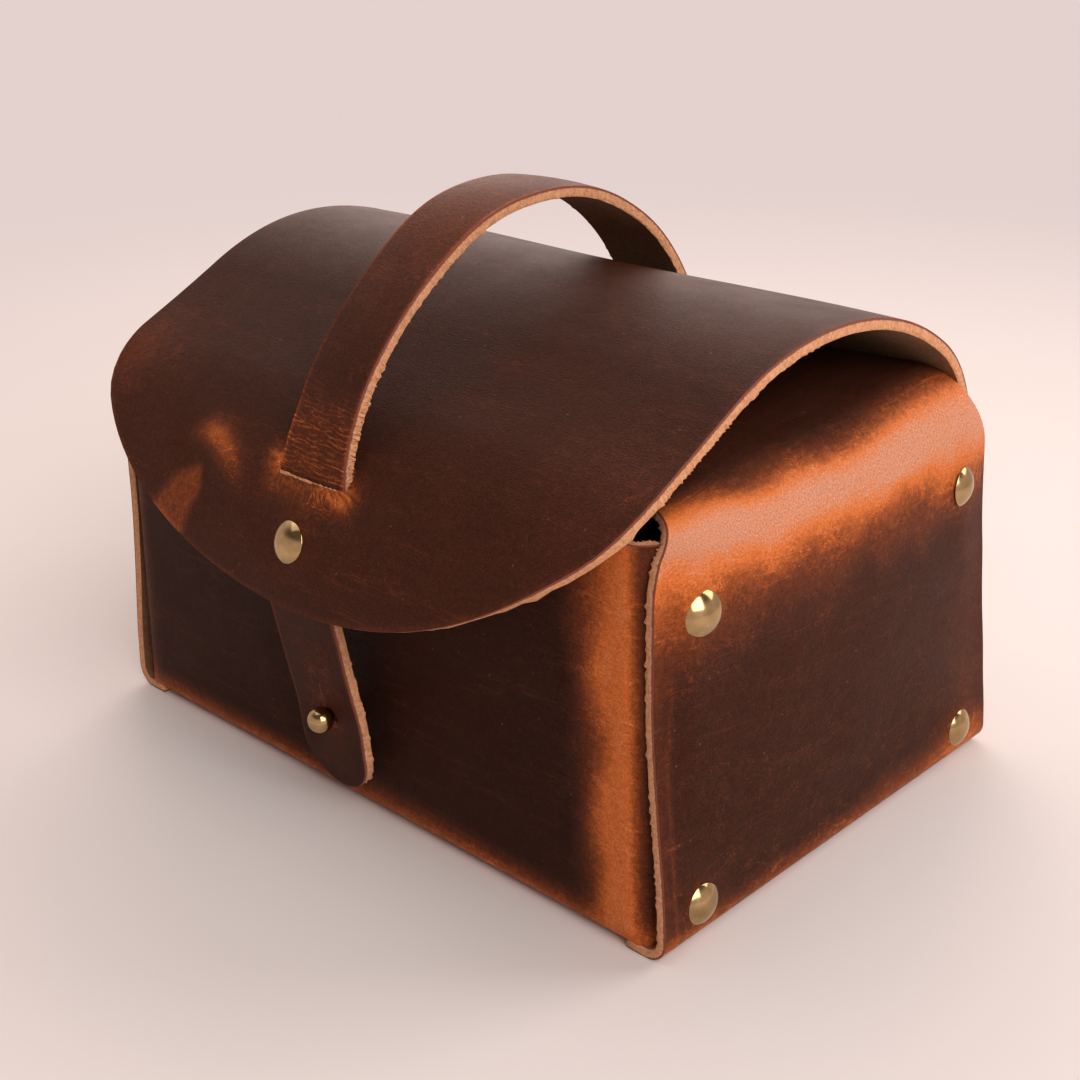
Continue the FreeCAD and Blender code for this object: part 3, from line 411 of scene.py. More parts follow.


# pull-up colour: dark waxed brown that opens through red-brown to orange as wear rises, and at full wear to
# a pinkish tan that is partly a painted sheen, uneven where it changes, with thin light veins where the
# leather is creased and faint scratches
def pullUpGroup():
    group, given, result = newGroup("pullUpColour", {"Blank": "Vector", "Wear": "Float", "Crease": "Float"},
                                    {"Colour": "Color", "Worn": "Float"})
    blank, wear, crease = given["Blank"], given["Wear"], given["Crease"]
    uneven = 0.0
    for scale, detail, rough, distortion, amount in pullUpSettings["uneven"]:
        patch = noise(group, blank, scale, detail, rough, distortion)
        uneven = compute(group, "ADD", uneven, swing(group, patch, amount))
    middle = times(group, wear, compute(group, "SUBTRACT", 1.0, wear))
    worn = timesPlus(group, uneven, timesPlus(group, middle, 1.25, 0.14), wear)
    for scale, width, strength in pullUpSettings["veins"]:
        lines = thinLines(group, noise(group, blank, scale, 4.0, 0.62, 1.6), width)
        patchy = ranged(group, noise(group, blank, scale * 0.6, 2.0), 0.44, 0.62)
        vein = times(group, times(group, lines, patchy), crease)
        worn = timesPlus(group, vein, strength, worn, clamp=True)
    for turn, stretch in pullUpSettings["scratches"]:
        along = drawnOut(group, blank, (stretch, 1.0, 1.0), turn)
        lines = thinLines(group, noise(group, along, 0.55, 2.0, 0.5), 0.035)
        patchy = ranged(group, noise(group, along, 0.16, 2.0), 0.54, 0.68)
        worn = timesPlus(group, times(group, lines, patchy), 0.10, worn, clamp=True)
    fill(group, result, {"Colour": rampNode(group, worn, pullUpSettings["ramp"]), "Worn": worn})
    return group


# grain relief: small pebbles of one millimetre, fine pores, pale specks, and wrinkles where the crease mask
# is high
def grainGroup():
    group, given, result = newGroup("grainRelief", {"Blank": "Vector", "Crease": "Float"},
                                    {"Height": "Float", "Pebble": "Float", "Specks": "Float"})
    blank, crease = given["Blank"], given["Crease"]
    pebble = noise(group, blank, 1.7, 4.0, 0.72)
    pores = ranged(group, noise(group, blank, 2.4, 2.0, 0.6), 0.28, 0.42, 1.0, 0.0)
    inputs = {"Vector": blank, "Scale": 0.30, "Randomness": 1.0}
    dots = addNode(group, "TexVoronoi", inputs).outputs
    chance = addNode(group, "SeparateXYZ", {0: dots["Color"]}).outputs[0]
    specks = ranged(group, dots["Distance"], 0.03, 0.11, 1.0, 0.0)
    soft = noise(group, blank, 0.22, 4.0, 0.6)
    folds = noise(group, drawnOut(group, blank, (0.6, 1.5, 1.0)), 0.34, 5.0, 0.62, 1.2)
    height = timesPlus(group, pebble, 1.1, times(group, soft, 0.6))
    height = timesPlus(group, pores, -0.25, height)
    height = timesPlus(group, times(group, offMiddle(group, folds), crease), 3.2, height)
    fill(group, result, {"Height": height, "Pebble": timesPlus(group, pores, -0.10, pebble),
                         "Specks": times(group, specks, ranged(group, chance, 0.60, 0.85))})
    return group


def newMaterial(name):
    material = bpy.data.materials.new(name)
    material.use_nodes = True
    tree = material.node_tree
    return material, tree, tree.nodes["Principled BSDF"]


def attribute(tree, name, output):
    return addNode(tree, "Attribute", attribute_name=name).outputs[output]


def useGroup(tree, group, inputs):
    return addNode(tree, "Group", inputs, node_tree=group).outputs


def bumped(tree, height, strength, distance):
    inputs = {"Strength": strength, "Distance": distance, "Height": height}
    return addNode(tree, "Bump", inputs).outputs[0]


pullUpColour = pullUpGroup()
grainRelief = grainGroup()


# grain side: waxed face with pull-up colour, pits, pale specks and a soft uneven gloss
def makeGrainLeather():
    material, tree, shader = newMaterial("waxedGrain")
    blank = attribute(tree, "blank", "Vector")
    wear, crease = attribute(tree, "wear", "Fac"), attribute(tree, "crease", "Fac")
    tone = useGroup(tree, pullUpColour, {"Blank": blank, "Wear": wear, "Crease": crease})
    relief = useGroup(tree, grainRelief, {"Blank": blank, "Crease": crease})
    shade = timesPlus(tree, relief["Pebble"], 1.9, 0.05)
    pebbled = mixed(tree, 1.0, tone["Colour"], shade, "MULTIPLY")
    fill(tree, shader, {
        "Base Color": mixed(tree, times(tree, relief["Specks"], 0.5), pebbled, (0.26, 0.13, 0.07, 1)),
        "Roughness": timesPlus(tree, noise(tree, blank, 0.05, 4.0, 0.6), 0.20, 0.32),
        "Normal": bumped(tree, relief["Height"], 0.75, 0.00028),
        "Coat Weight": ranged(tree, tone["Worn"], 0.45, 0.95, 0.0, 0.22),
        "Coat Roughness": 0.45,
        "Specular IOR Level": 0.04,
        "Specular Tint": (1.0, 0.75, 0.62, 1),
    })
    return material


# raw edge: pale fibres through the thickness, a dark line under the grain and a loose fuzzy flesh side
def makeEdgeLeather():
    material, tree, shader = newMaterial("rawEdge")
    blank = attribute(tree, "blank", "Vector")
    depth = addNode(tree, "SeparateXYZ", {0: blank}).outputs[2]
    fibre = noise(tree, blank, 1.1, 5.0, 0.75)
    speck = noise(tree, blank, 3.0, 3.0, 0.6)
    core = rampNode(tree, fibre, [(0.28, (0.42, 0.165, 0.078)), (0.48, (0.66, 0.305, 0.155)),
                                  (0.72, (0.80, 0.44, 0.245))])
    core = mixed(tree, times(tree, ranged(tree, speck, 0.54, 0.70), 0.4), core, (0.32, 0.120, 0.055, 1))
    waved = compute(tree, "ADD", depth, swing(tree, fibre, 0.5))
    underGrain = ranged(tree, waved, 0.38, 0.72, 1.0, 0.0)
    fill(tree, shader, {
        "Base Color": mixed(tree, underGrain, core, (0.21, 0.063, 0.040, 1)),
        "Roughness": 0.88,
        "Normal": bumped(tree, timesPlus(tree, speck, 0.7, fibre), 0.8, 0.0004),
        "Specular IOR Level": 0.2,
    })
    return material


# flesh side: dull brown suede with a short nap
def makeFleshLeather():
    material, tree, shader = newMaterial("fleshSide")
    blank = attribute(tree, "blank", "Vector")
    nap = noise(tree, blank, 0.9, 6.0, 0.7)
    tone = timesPlus(tree, nap, 0.6, times(tree, noise(tree, blank, 0.04, 4.0, 0.6), 0.4))
    fill(tree, shader, {
        "Base Color": rampNode(tree, tone, [(0.30, (0.125, 0.054, 0.025)), (0.52, (0.23, 0.106, 0.051)),
                                            (0.72, (0.36, 0.187, 0.094))]),
        "Roughness": 0.95,
        "Normal": bumped(tree, nap, 0.6, 0.0003),
        "Specular IOR Level": 0.12,
        "Sheen Weight": 0.15,
        "Sheen Tint": (0.8, 0.6, 0.4, 1),
    })
    return material


# satin brass: warm metal with fine handling marks and slightly dulled patches
def makeBrass():
    material, tree, shader = newMaterial("satinBrass")
    place = addNode(tree, "TexCoord").outputs["Object"]
    dull = noise(tree, place, 220.0, 4.0, 0.6)
    fill(tree, shader, {
        "Base Color": rampNode(tree, dull, [(0.30, (0.33, 0.215, 0.095)), (0.55, (0.44, 0.295, 0.140)),
                                            (0.75, (0.54, 0.38, 0.195))]),
        "Metallic": 1.0,
        "Roughness": timesPlus(tree, dull, 0.14, 0.09),
        "Normal": bumped(tree, noise(tree, place, 900.0, 3.0, 0.6), 0.10, 0.00003),
    })
    return material


grainLeather = makeGrainLeather()
edgeLeather = makeEdgeLeather()
fleshLeather = makeFleshLeather()
brass = makeBrass()
print("materials made")


frontSettings = {
    "bulge": 1.3,             # how far the upper front wall stands out
    "wave": 0.25,
    "wingDrop": 10.0,         # the wings' tops slope down behind the end panels, and lean in
    "wingIn": 0.7,
    "cornerFoot": 2.4,        # lower edge of the corner bends above the table
    "rightBurnish": (77, 94),  # from the middle, where the orange of the right corner starts and is full
    "leftBurnish": (91, 103),
}


# base and front wall: x runs along the width, y and z follow base, bend and wall, and past the flat width
# the wall goes round a corner bend (radius times sine and cosine of arc over radius) into a wing
def makeFrontHide():
    settings, bend, corner, wallTop = frontSettings, hide["baseBend"], hide["cornerBend"], hide["wallHeight"]
    backStart = hide["halfDepth"] - footRun(hide["backAngle"])
    baseRun = backStart + hide["halfDepth"] - bend
    steps = [("run", baseRun), ("bend", bend, -90.0), ("run", wallTop - bend)]
    line = foldLine((backStart, 0.0), 180.0, steps)
    bendEnd = baseRun + bend * math.pi / 2
    footEnd = baseRun + bend * math.acos(1 - settings["cornerFoot"] / bend)
    wingStart = flatAtBase + cornerArc
    reach = wingStart + hide["wingLength"] - corner
    s = spread([0, baseRun - 12, baseRun, footEnd, bendEnd, line["length"]], [6, 2, 0.7, 0.7, 1.3])
    t = spread([-reach, -wingStart, -flatAtBase, -70, 70, flatAtBase, wingStart, reach],
               [2.2, 0.8, 1.3, 1.8, 1.3, 0.8, 2.2])
    run, side = np.meshgrid(s, t, indexing="ij")
    py, pz, _ = walk(line, run)
    far = np.abs(side) - flatAtBase
    angle = np.clip(far, 0, cornerArc) / corner
    half = flatHalf(pz)
    px = np.where(far <= 0, side * half / flatAtBase, np.sign(side) * (half + corner * np.sin(angle)))
    py -= ease(0, 4.5, far) * (run > baseRun) * (py + hide["halfDepth"])
    py += corner * (1 - np.cos(angle)) + np.maximum(far - cornerArc, 0)
    px -= np.sign(side) * settings["wingIn"] * ease(80, wallTop, pz) * ease(0, cornerArc, far)
    behind = ease(0.7 * cornerArc, cornerArc + 14, far)
    pz -= settings["wingDrop"] * ease(70, wallTop, pz) * behind
    share = np.abs(side) / flatAtBase
    swell = np.sin(np.pi * np.clip((pz - 40) / 66, 0, 1))
    py -= ease(46, 70, pz) * ease(1.0, 0.72, share) * settings["bulge"] * swell
    py -= ease(40, 60, pz) * ease(1.0, 0.8, share) * settings["wave"] * ripple(side, run, 70, 3)
    middleSide, middleRun = np.abs(t[1:] + t[:-1]) / 2, (s[1:] + s[:-1]) / 2
    keep = ~((middleSide[None, :] > flatAtBase) & (middleRun[:, None] < footEnd))

    burnishAndShade = ease(*settings["rightBurnish"], side + 2.0 * ripple(side, run, 30, 5))
    burnishAndShade += 0.5 * ease(*settings["leftBurnish"], -side)
    # painted shade: the corner's orange is cut back where the bend turns in behind the end panel's edge and
    # lies in shade
    burnishAndShade *= 1 - 0.72 * ease(flatAtBase + 1, flatAtBase + 6.5, np.abs(side))
    foot = (1 - ease(2.0, 12 + 1.5 * ripple(side, run, 45, 6), pz)) * (pz > 0.3)
    # painted shade: the base wear of 0.03, below the lid's and end panels', keeps the whole front wall
    # darker
    wear = 0.03 + 0.74 * burnishAndShade + 0.6 * foot * (1 - burnishAndShade)
    crease = 0.15 + 0.5 * hill(side, pz, 84, 60, 12, 60) + 0.6 * foot
    place = np.stack([px, py, pz], -1)
    flat = np.stack([side, run], -1)
    piece = leatherSheet("frontHide", place, flat, wear, crease, 11, flip=True, keep=keep)
    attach(piece, "tub")
    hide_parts("tub")


endSettings = {
    "edgeInset": 1.2,         # the panel's edges stand in from the wall faces
    "bow": 2.6,               # outward bow of the panel between its rivets
    "curl": 2.4,              # how far the front edge turns in
    "backCurl": 1.4,
    "bendStart": 96.0,        # height at which the panel turns into its flap
    "bendRadius": 18.0,
    "frontBendStart": 103.5,  # the same at the front edge, where the fold is tight
    "frontBendRadius": 9.5,
    "flapEnd": 43.6,          # tip of the flap, from the middle of the case
    "flapCorner": 16.0,
    "backRise": 3.4,          # the bend stands higher at the back and lower at the front
    "frontDrop": 1.2,
    "crown": 2.5,
    "hinge": (99.972, 109.267),  # x and z of the flap's fold, and how far the bending reaches on each side
    "foldArm": 8.5,
    "rivets": [(-59.5, 11.0), (58.615, 11.0), (-59.5, 87.7), (52.54, 86.5)],
    "capTilt": [(-0.10, 0.0), (0.02, 0.0), (-0.28, 0.16), (0.10, 0.0)],
    "capSink": 0.25,
}


# side view of an end: base, foot bend, leaning panel, top bend and flap, with the distances at which they
# start and end
def endLine(bendStart, radius):
    lean = hide["endAngle"]
    upright = math.cos(math.radians(lean))
    cornerRun = footRun(lean)
    baseRun = hide["halfLength"] - cornerRun - flatAtBase
    panelRun = bendStart / upright - cornerRun
    bendX = hide["halfLength"] - endLean * bendStart - radius * upright
    steps = [("run", baseRun), ("bend", hide["baseBend"], 90 + lean), ("run", panelRun),
             ("bend", radius, 90 - lean), ("run", bendX - endSettings["flapEnd"])]
    line = foldLine((flatAtBase, 0.0), 0.0, steps)
    return line, [leg["from"] for leg in line["legs"]] + [line["length"]]


# place and axis of a cap: the grid point with the smallest gap, a little sunk in, and its tilted normal
def seatCap(place, outside, gap, sink, tilt=(0, 0, 0)):
    near = np.unravel_index(np.argmin(gap), gap.shape)
    return place[near] - sink * outside[near], outside[near] + np.array(tilt)


# end panel: x and z follow the end's fold line, tighter at the front than behind, y runs between a front
# and a back edge set by the distance along it, and bow, curl and rise are smooth hills added to x and z
def makeEndPanel(sign, name, flap):
    settings = endSettings
    line, knots = endLine(settings["bendStart"], settings["bendRadius"])
    frontLine, frontKnots = endLine(settings["frontBendStart"], settings["frontBendRadius"])
    baseRun, footEnd, bendStart, bendEnd, end = knots[1:]
    split = (bendStart + bendEnd) / 2
    s = spread([0, baseRun, footEnd, bendStart, bendEnd, end - 16, end - 4, end],
               [2, 0.7, 0.9, 0.8, 1.2, 0.8, 0.5])
    v = spread([0, 0.06, 0.94, 1], [0.006, 0.012, 0.006])
    x, z, _ = walk(line, s)
    frontX, frontZ, _ = walk(frontLine, np.interp(s, knots, frontKnots))
    foot = hide["halfDepth"] - settings["edgeInset"]
    backAtBend = foot - backLean * settings["bendStart"]
    frontEdge = np.interp(s, [0, bendStart - 6, split, end], [-foot, -foot, -67.5, -53.5])
    backEdge = np.where(s < bendStart, foot - backLean * z - 1.0 * ease(60, 96, z),
                        np.interp(s, [bendStart, split, bendEnd, end], [backAtBend - 1.0, 58.3, 54.0, 45.5]))
    corner = settings["flapCorner"]
    left = np.clip(corner - (end - s), 0, corner)
    rounding = corner - np.sqrt(np.maximum(corner ** 2 - left ** 2, 0))
    frontEdge, backEdge = runningMean(frontEdge) + rounding, runningMean(backEdge) - rounding
    run, share = np.meshgrid(s, v, indexing="ij")
    py = frontEdge[:, None] * (1 - share) + backEdge[:, None] * share
    opened = ease(-72, -22, py)
    px = frontX[:, None] * (1 - opened) + x[:, None] * opened
    pz = frontZ[:, None] * (1 - opened) + z[:, None] * opened
    onPanel = ease(footEnd, footEnd + 20, run) * ease(bendEnd, bendStart - 8, run)
    bowUp = np.sin(np.pi * np.clip((pz - 4) / 100, 0, 1))
    px += onPanel * settings["bow"] * np.sin(np.pi * (py + 59.5) / 115) * bowUp
    px += onPanel * 0.2 * ripple(py, run, 45, 8) * ease(16, 40, pz) * ease(74, 60, pz)
    beforeFlap = ease(bendEnd, bendStart, run)
    px -= settings["curl"] * ease(-60, -75, py) * ease(20, 68, pz) * beforeFlap
    px -= settings["backCurl"] * ease(54, 70, py) * ease(30, 80, pz) * beforeFlap
    rise = settings["backRise"] * ease(0, 56, py) - settings["frontDrop"] * ease(-35, -68, py)
    pz += rise * ease(bendStart - 8, bendEnd, run)
    pz += settings["crown"] * band(py, 0, 38) * ease(bendEnd - 4, bendEnd + 16, run)

    lower = pz + 4.5 * ease(-48, -72, py) + 2.2 * ripple(py, run, 38, 9) + 1.2 * ripple(py, run, 13, 7)
    inside = run + 0.9 * ripple(py, run, 30, 10) - 4 * ease(0, 45, py) - 9 * ease(-30, -62, py)
    top = ease(69, 104, lower) * ease(bendEnd - 3, bendEnd - 20, inside)
    # extra wear along the crest of the top bend, lifting it into the ramp's pale top stops: partly the
    # pull-up's paling where the bend is sharpest, partly a painted sheen
    crestSheenAndWear = band(run, bendStart + 6, 11) * (0.97 + 0.05 * ripple(py, run, 26, 14))
    footTop = 11 + 7 * ease(-30, 60, py) + 1.5 * ripple(py, run, 40, 12)
    rubbed = (1 - ease(2, footTop, pz)) * (pz > 0.3) * (run < bendStart)
    fromEdge = py - frontEdge[:, None]
    edge = ease(6, 0, fromEdge) * (run < split)
    pressed = band(fromEdge, 4.0 + 0.8 * ripple(run, 0 * run, 40, 31), 0.7) * ease(95, 60, pz)
    rivets = sum(hill(py, pz, cy, cz, 8.5, 8.5) for cy, cz in settings["rivets"])
    below = 0.46 * rubbed + 0.14 * edge + 0.15 * pressed + 0.14 * rivets
    below = below + 0.12 * hill(py, pz, 62, 30, 14, 60)
    wear = 0.08 + (0.60 + 0.34 * crestSheenAndWear) * top + (1 - top) * below
    crease = 0.5 + 0.6 * top * (1 - top) + 0.45 * hill(py, pz, -10, 18, 70, 20) + 0.4 * rivets
    place = np.stack([sign * px, py, pz], -1)
    piece = leatherSheet(name, place, np.stack([py, run], -1), wear, crease, 22 - sign, flip=sign > 0)
    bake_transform(piece)
    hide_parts(flap)
    outside = gridNormals(place, sign > 0)
    seats = []
    for (cy, cz), tilt in zip(settings["rivets"], settings["capTilt"]):
        gap = (py - cy) ** 2 + (pz - cz) ** 2 + 1e4 * (run > bendStart)
        seats.append(seatCap(place, outside, gap, settings["capSink"], (0, *tilt)))
    return seats


# back corner and wing: corner bend and straight wing of the back wall, on a grid of arc length and height
def makeBackWing(sign, name):
    corner = hide["cornerBend"]
    z = spread([hide["baseBend"], hide["foldHeight"]], [1.8])
    t = spread([0, cornerArc, cornerArc + hide["wingLength"] - corner], [0.8, 2.0])
    pz, side = np.meshgrid(z, t, indexing="ij")
    angle = np.clip(side, 0, cornerArc) / corner
    px = flatHalf(pz) + corner * np.sin(angle)
    py = hide["halfDepth"] - backLean * pz - corner * (1 - np.cos(angle)) - np.maximum(side - cornerArc, 0)
    wear = 0.07 + 0.75 * ease(-6, 8, side) * ease(24, 15, side)
    place = np.stack([sign * px, py, pz], -1)
    piece = leatherSheet(name, place, np.stack([side, pz], -1), wear, np.full(pz.shape, 0.3), 32 - sign,
                         flip=sign < 0, plainEdge=(side <= 0.01))
    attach(piece, "tub")


lidSettings = {
    "halfWidth": 97.2,
    "noseRadius": 135.5,
    "shoulderRadius": 25.0,
    "shoulderLead": 0.3,      # the shoulder arc starts this far outside the lid's edge
    "tip": 68.72,
    "straightTo": 128.0,      # distance from the fold up to which the lid's rows run straight across
    "frontSlot": (181.6, 187.4),
    "rearSlot": (36.0, 42.0),
    "slotMiddle": 1.7,        # the slots sit a little to the right of the middle
    "slotHalf": 12.9,
    "slotLean": 4.0,          # how far the slots slant through the leather
    "lip": 0.85,              # how far the slot's lower lip is pushed up by the strap
    "edgeThickness": 3.1,
    "rivet": (0.0, 203.6),
    "caps": [(0, -93.808, 85.384), (0, 61.743, 112.393)],  # the two caps on the lid
    "capSink": 0.05,
    # worn hook left of the strap: across, along, radius, strength
    "hook": [(-49, 186.5, 2.6, 0.10), (-45.5, 184.4, 3.2, 0.28), (-42, 183.8, 3.8, 0.46),
             (-38, 184.6, 4.0, 0.50), (-33, 187.2, 4.0, 0.42), (-28, 190.6, 3.6, 0.24),
             (-23, 194.5, 3.2, 0.08)],
    # flat worn patch below it, down to the lid's edge
    "wedge": [(-43.5, 193.2), (-40.8, 193.4), (-38.6, 200), (-42.5, 212), (-53, 220), (-60.5, 212),
              (-51.3, 200)],
    "wedgeWear": 0.30,
}
lidSteps = [("run", 2.3), ("bend", 38.4, 51.8), ("bend", 89.5, 59.8), ("run", 28.405), ("bend", 57.4, 60.0),
            ("run", 4.0)]


# half of the nose outline as x, distance along the lid and arc length: a large arc in the middle meets a
# shoulder arc
def noseLine(line, fold):
    width, tip = lidSettings["halfWidth"], lidSettings["tip"]
    shoulder, nose = lidSettings["shoulderRadius"], lidSettings["noseRadius"]
    x = np.linspace(0, width, 1200)
    across = width + lidSettings["shoulderLead"] - shoulder
    level = tip + nose - math.sqrt((nose - shoulder) ** 2 - across ** 2)
    meeting = across * nose / (nose - shoulder)
    z = np.where(x < meeting, tip + nose - np.sqrt(nose ** 2 - np.minimum(x, meeting) ** 2),
                 level - np.sqrt(np.maximum(shoulder ** 2 - (np.maximum(x, across) - across) ** 2, 0)))
    down = np.linspace(fold + 120, line["length"], 3000)
    _, downZ, _ = walk(line, down)
    along = np.interp(-z, -downZ, down) - fold
    return x, along, np.concatenate([[0], np.cumsum(np.hypot(np.diff(x), np.diff(along)))])


# lid with the back wall: x runs across, y and z follow the back wall and the lid's arch, and the columns of
# the front part fan out to points spaced along the rounded nose
def makeLid():
    bend, lean, settings = hide["baseBend"], hide["backAngle"], lidSettings
    cornerRun = footRun(lean)
    wallRun = hide["foldHeight"] / math.cos(math.radians(lean)) - cornerRun
    steps = [("bend", bend, 90 + lean), ("run", wallRun)] + lidSteps
    line = foldLine((hide["halfDepth"] - cornerRun, 0.0), 0.0, steps)
    fold = bend * math.radians(90 + lean) + wallRun
    width, middle, slotHalf = settings["halfWidth"], settings["slotMiddle"], settings["slotHalf"]
    noseX, noseRun, noseArc = noseLine(line, fold)
    column = spread([-width, -90, -60, -28, middle - slotHalf, middle + slotHalf, 28, 90, width],
                    [0.8, 3.0, 1.4, 0.8, 0.8, 0.8, 3.0, 0.8])
    straight = 0.5 * width
    kept = np.interp(straight, noseX, noseArc)
    wanted = np.where(np.abs(column) <= straight, np.interp(np.abs(column), noseX, noseArc),
                      kept + (noseArc[-1] - kept) * (np.abs(column) - straight) / (width - straight))
    endX, endRun = np.sign(column) * np.interp(wanted, noseArc, noseX), np.interp(wanted, noseArc, noseRun)

    front, rear = settings["frontSlot"], settings["rearSlot"]
    straightTo, tip = settings["straightTo"], noseRun[0]
    row = spread([-fold, -fold + 9.9, -8, 0, 10, *rear, straightTo, front[0] - 8, *front, front[1] + 3,
                  front[1] + 12, tip - 3, tip],
                 [0.8, 2.4, 1.0, 0.9, 1.0, 1.0, 1.0, 0.9, 0.7, 0.8, 0.3, 0.7, 0.9, 0.6])
    part = np.clip((row - straightTo) / (tip - straightTo), 0, 1)[:, None]
    run = np.where(part > 0, straightTo + part * (endRun[None, :] - straightTo), row[:, None])
    px = column[None, :] + (endX - column)[None, :] * part
    py, pz, heading = walk(line, run + fold)
    narrow = flatHalf(np.minimum(pz, hide["foldHeight"])) / width
    px = px * np.where(run < 0, narrow, narrow + (1 - narrow) * ease(0, 7, run))
    rowRun, columnX = (np.broadcast_to(item, run.shape) for item in (row[:, None], column[None, :]))

    fromMiddle = np.abs(px - middle)
    ends = hill(px, run, middle - slotHalf - 2, front[1] - 3, 4.5, 4)
    ends = ends + hill(px, run, middle + slotHalf - 2, front[1], 5.5, 4)
    halo = band(np.maximum(fromMiddle - slotHalf, 0), 0, 5) * band(run, front[1] + 1.5, 5)
    rays = np.arctan2(run - front[1] + 7, px - middle) * 22 + 3.2 * ripple(px, run, 8, 13)
    wrinkle = np.clip(halo + ends, 0, 1) * np.abs(np.sin(rays))
    lift = 0.35 * ripple(px, run, 90, 14) * ease(20, 60, run)
    lift += 0.8 * ease(70, 97, np.abs(px)) * ripple(px * 0.2, run, 75, 15) * ease(20, 70, run)
    lift += 0.7 * hill(px, run, -34, 188, 14, 6, 30) - 0.8 * hill(px, run, -44, 194, 13, 4, 35)
    lift += -0.7 * halo + 0.22 * wrinkle
    dimple = hill(px, run, *settings["rivet"], 8, 8)
    lift = lift * (1 - dimple) - 0.25 * dimple
    belowSlot = rowRun - front[1]
    acrossSlot = ease(slotHalf + 1.5, slotHalf - 1.5, fromMiddle)
    lip = np.exp(-np.maximum(belowSlot, 0) / 1.5) * (belowSlot >= -0.01)
    turnedUp = settings["lip"] * lip * acrossSlot
    bareEnd = 1.0 - 0.03 * (px - middle + slotHalf)
    bare = (acrossSlot > 0.3) & (belowSlot > -0.01) & (belowSlot < bareEnd)
    py, pz = py + np.sin(heading) * lift, pz - np.cos(heading) * lift

    middleX, middleRun = (px[:-1, :-1] + px[1:, 1:]) / 2, (row[:-1] + row[1:])[:, None] / 2
    inFront, inRear = ((middleRun > slot[0]) & (middleRun < slot[1]) for slot in (front, rear))
    inSlot = (np.abs(middleX - middle) < slotHalf) & (inFront | inRear)
    slant = band(rowRun, sum(front) / 2, 12) - band(rowRun, sum(rear) / 2, 12)
    shift = settings["slotLean"] * ease(slotHalf + 9, slotHalf, fromMiddle) * slant

    hook = stroke(px, run, settings["hook"])
    wedge = facet(px, run + 0.5 * ripple(px, run, 14, 43), settings["wedge"], 1.4)
    wear = 0.085 + 0.05 * ease(150, 200, run) + 0.12 * dimple + 0.10 * hill(px, run, -92, 170, 10, 12)
    wear += np.clip(0.28 * halo + 0.34 * ends, 0, 0.46) * (0.6 + 0.6 * np.abs(np.sin(rays)))
    wear += hook + settings["wedgeWear"] * wedge
    toEdge = np.minimum(width - np.abs(columnX), (endRun[None, :] - run) * 0.9)
    wear += 0.10 * ease(2.2, 0.2, toEdge) * (run > 0) + 0.10 * hill(np.abs(px), run, 88, 166, 14, 18)
    wear += 0.30 * ease(7, 0, np.abs(run)) + 0.5 * ease(-fold + 16, -fold + 6, run)
    crease = 0.22 + 0.6 * halo + 0.5 * hill(np.abs(px), run, 84, 164, 18, 18) + 0.8 * hook
    crease += 0.35 * ease(10, 0, np.abs(run)) + 0.55 * hill(px, run, middle, front[1] + 2, 32, 15)
    thicker = settings["edgeThickness"] - hide["thickness"]
    thick = hide["thickness"] + thicker * ease(60, 90, np.abs(px)) * (run > 8)
    place = np.stack([px, py, pz], -1)
    plainEdge = (run < -0.5) | ((fromMiddle < slotHalf + 3) & (belowSlot < 3))
    piece = leatherSheet("lidHide", place, np.stack([px, run], -1), wear, crease, 41, keep=~inSlot,
                         shift=shift, plainEdge=plainEdge, thick=thick, bare=bare, turnedUp=turnedUp)
    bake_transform(piece)
    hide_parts("lid")
    outside = gridNormals(place, False)
    return [seatCap(place, outside, ((place - np.array(spot)) ** 2).sum(-1), settings["capSink"])
            for spot in settings["caps"]]


strapSettings = {
    "halfWidth": 12.5,
    "hinge": (-91.624, 64.725),   # where the tab folds, y and z
    "heading": 98.78,
    "aboveHinge": 9.164,          # straight stretch from there to the strap's first bend
    "holeDrop": 32.91,            # from the hinge down to the buttonhole
    "tail": 22.4,                 # from the buttonhole to the round end
    "roundEnd": 17.0,             # stretch over which the columns fan out to the round end
    "holeRadius": 3.9,
    "holeSquare": 3.3,            # half of the square of cells that is drawn out to the hole, and its reach
    "holeReach": 8.5,
    "slitLength": 11.0,
    "slitHalf": 0.3,
    "leanBack": 2.6,              # the handle's front leg leans back, shifts right and twists a little
    "shiftRight": 1.8,
    "twist": 0.10,
    "handleHalf": 11.7,           # half-width where the strap is drawn through the slot
    "tabIn": 2.0,                 # how far the tab hangs nearer the front wall at the ball
    "thickness": 3.0,
    "wrinkleSpacing": 1.05,       # between the fine folds above the slot
    "wrinkleHeight": 0.22,
}
strapSteps = [("bend", 12.0, -20.566), ("bend", 54.6, -16.779), ("bend", 8.0, 25.822), ("run", 6.681),
              ("bend", 46.0, -36.7), ("bend", 105.8, -18.8), ("bend", 70.113, -98.177),
              ("bend", 8.0, 22.343), ("bend", 35.6, -29.387)]


# fine folds: the higher of two sets of thin ridges; each set stands where a phase that grows along the strap
# and wavers across it passes whole numbers, and a second ripple breaks it into short lengths
def fineFolds(across, along, spacing, seed):
    best = 0.0
    for number, stretch in enumerate((1.0, 1.31)):
        start = seed + 5 * number
        waver = 0.36 * ripple(across, along * 0.7, 9, start) + 0.16 * ripple(across, along, 3.2, start + 1)
        ridge = band(np.sin(np.pi * (along + waver) / (spacing * stretch)), 0, 0.40)
        best = np.maximum(best, ridge * np.clip(0.5 + 0.8 * ripple(across, along * 2.2, 6, start + 2), 0, 1))
    return best


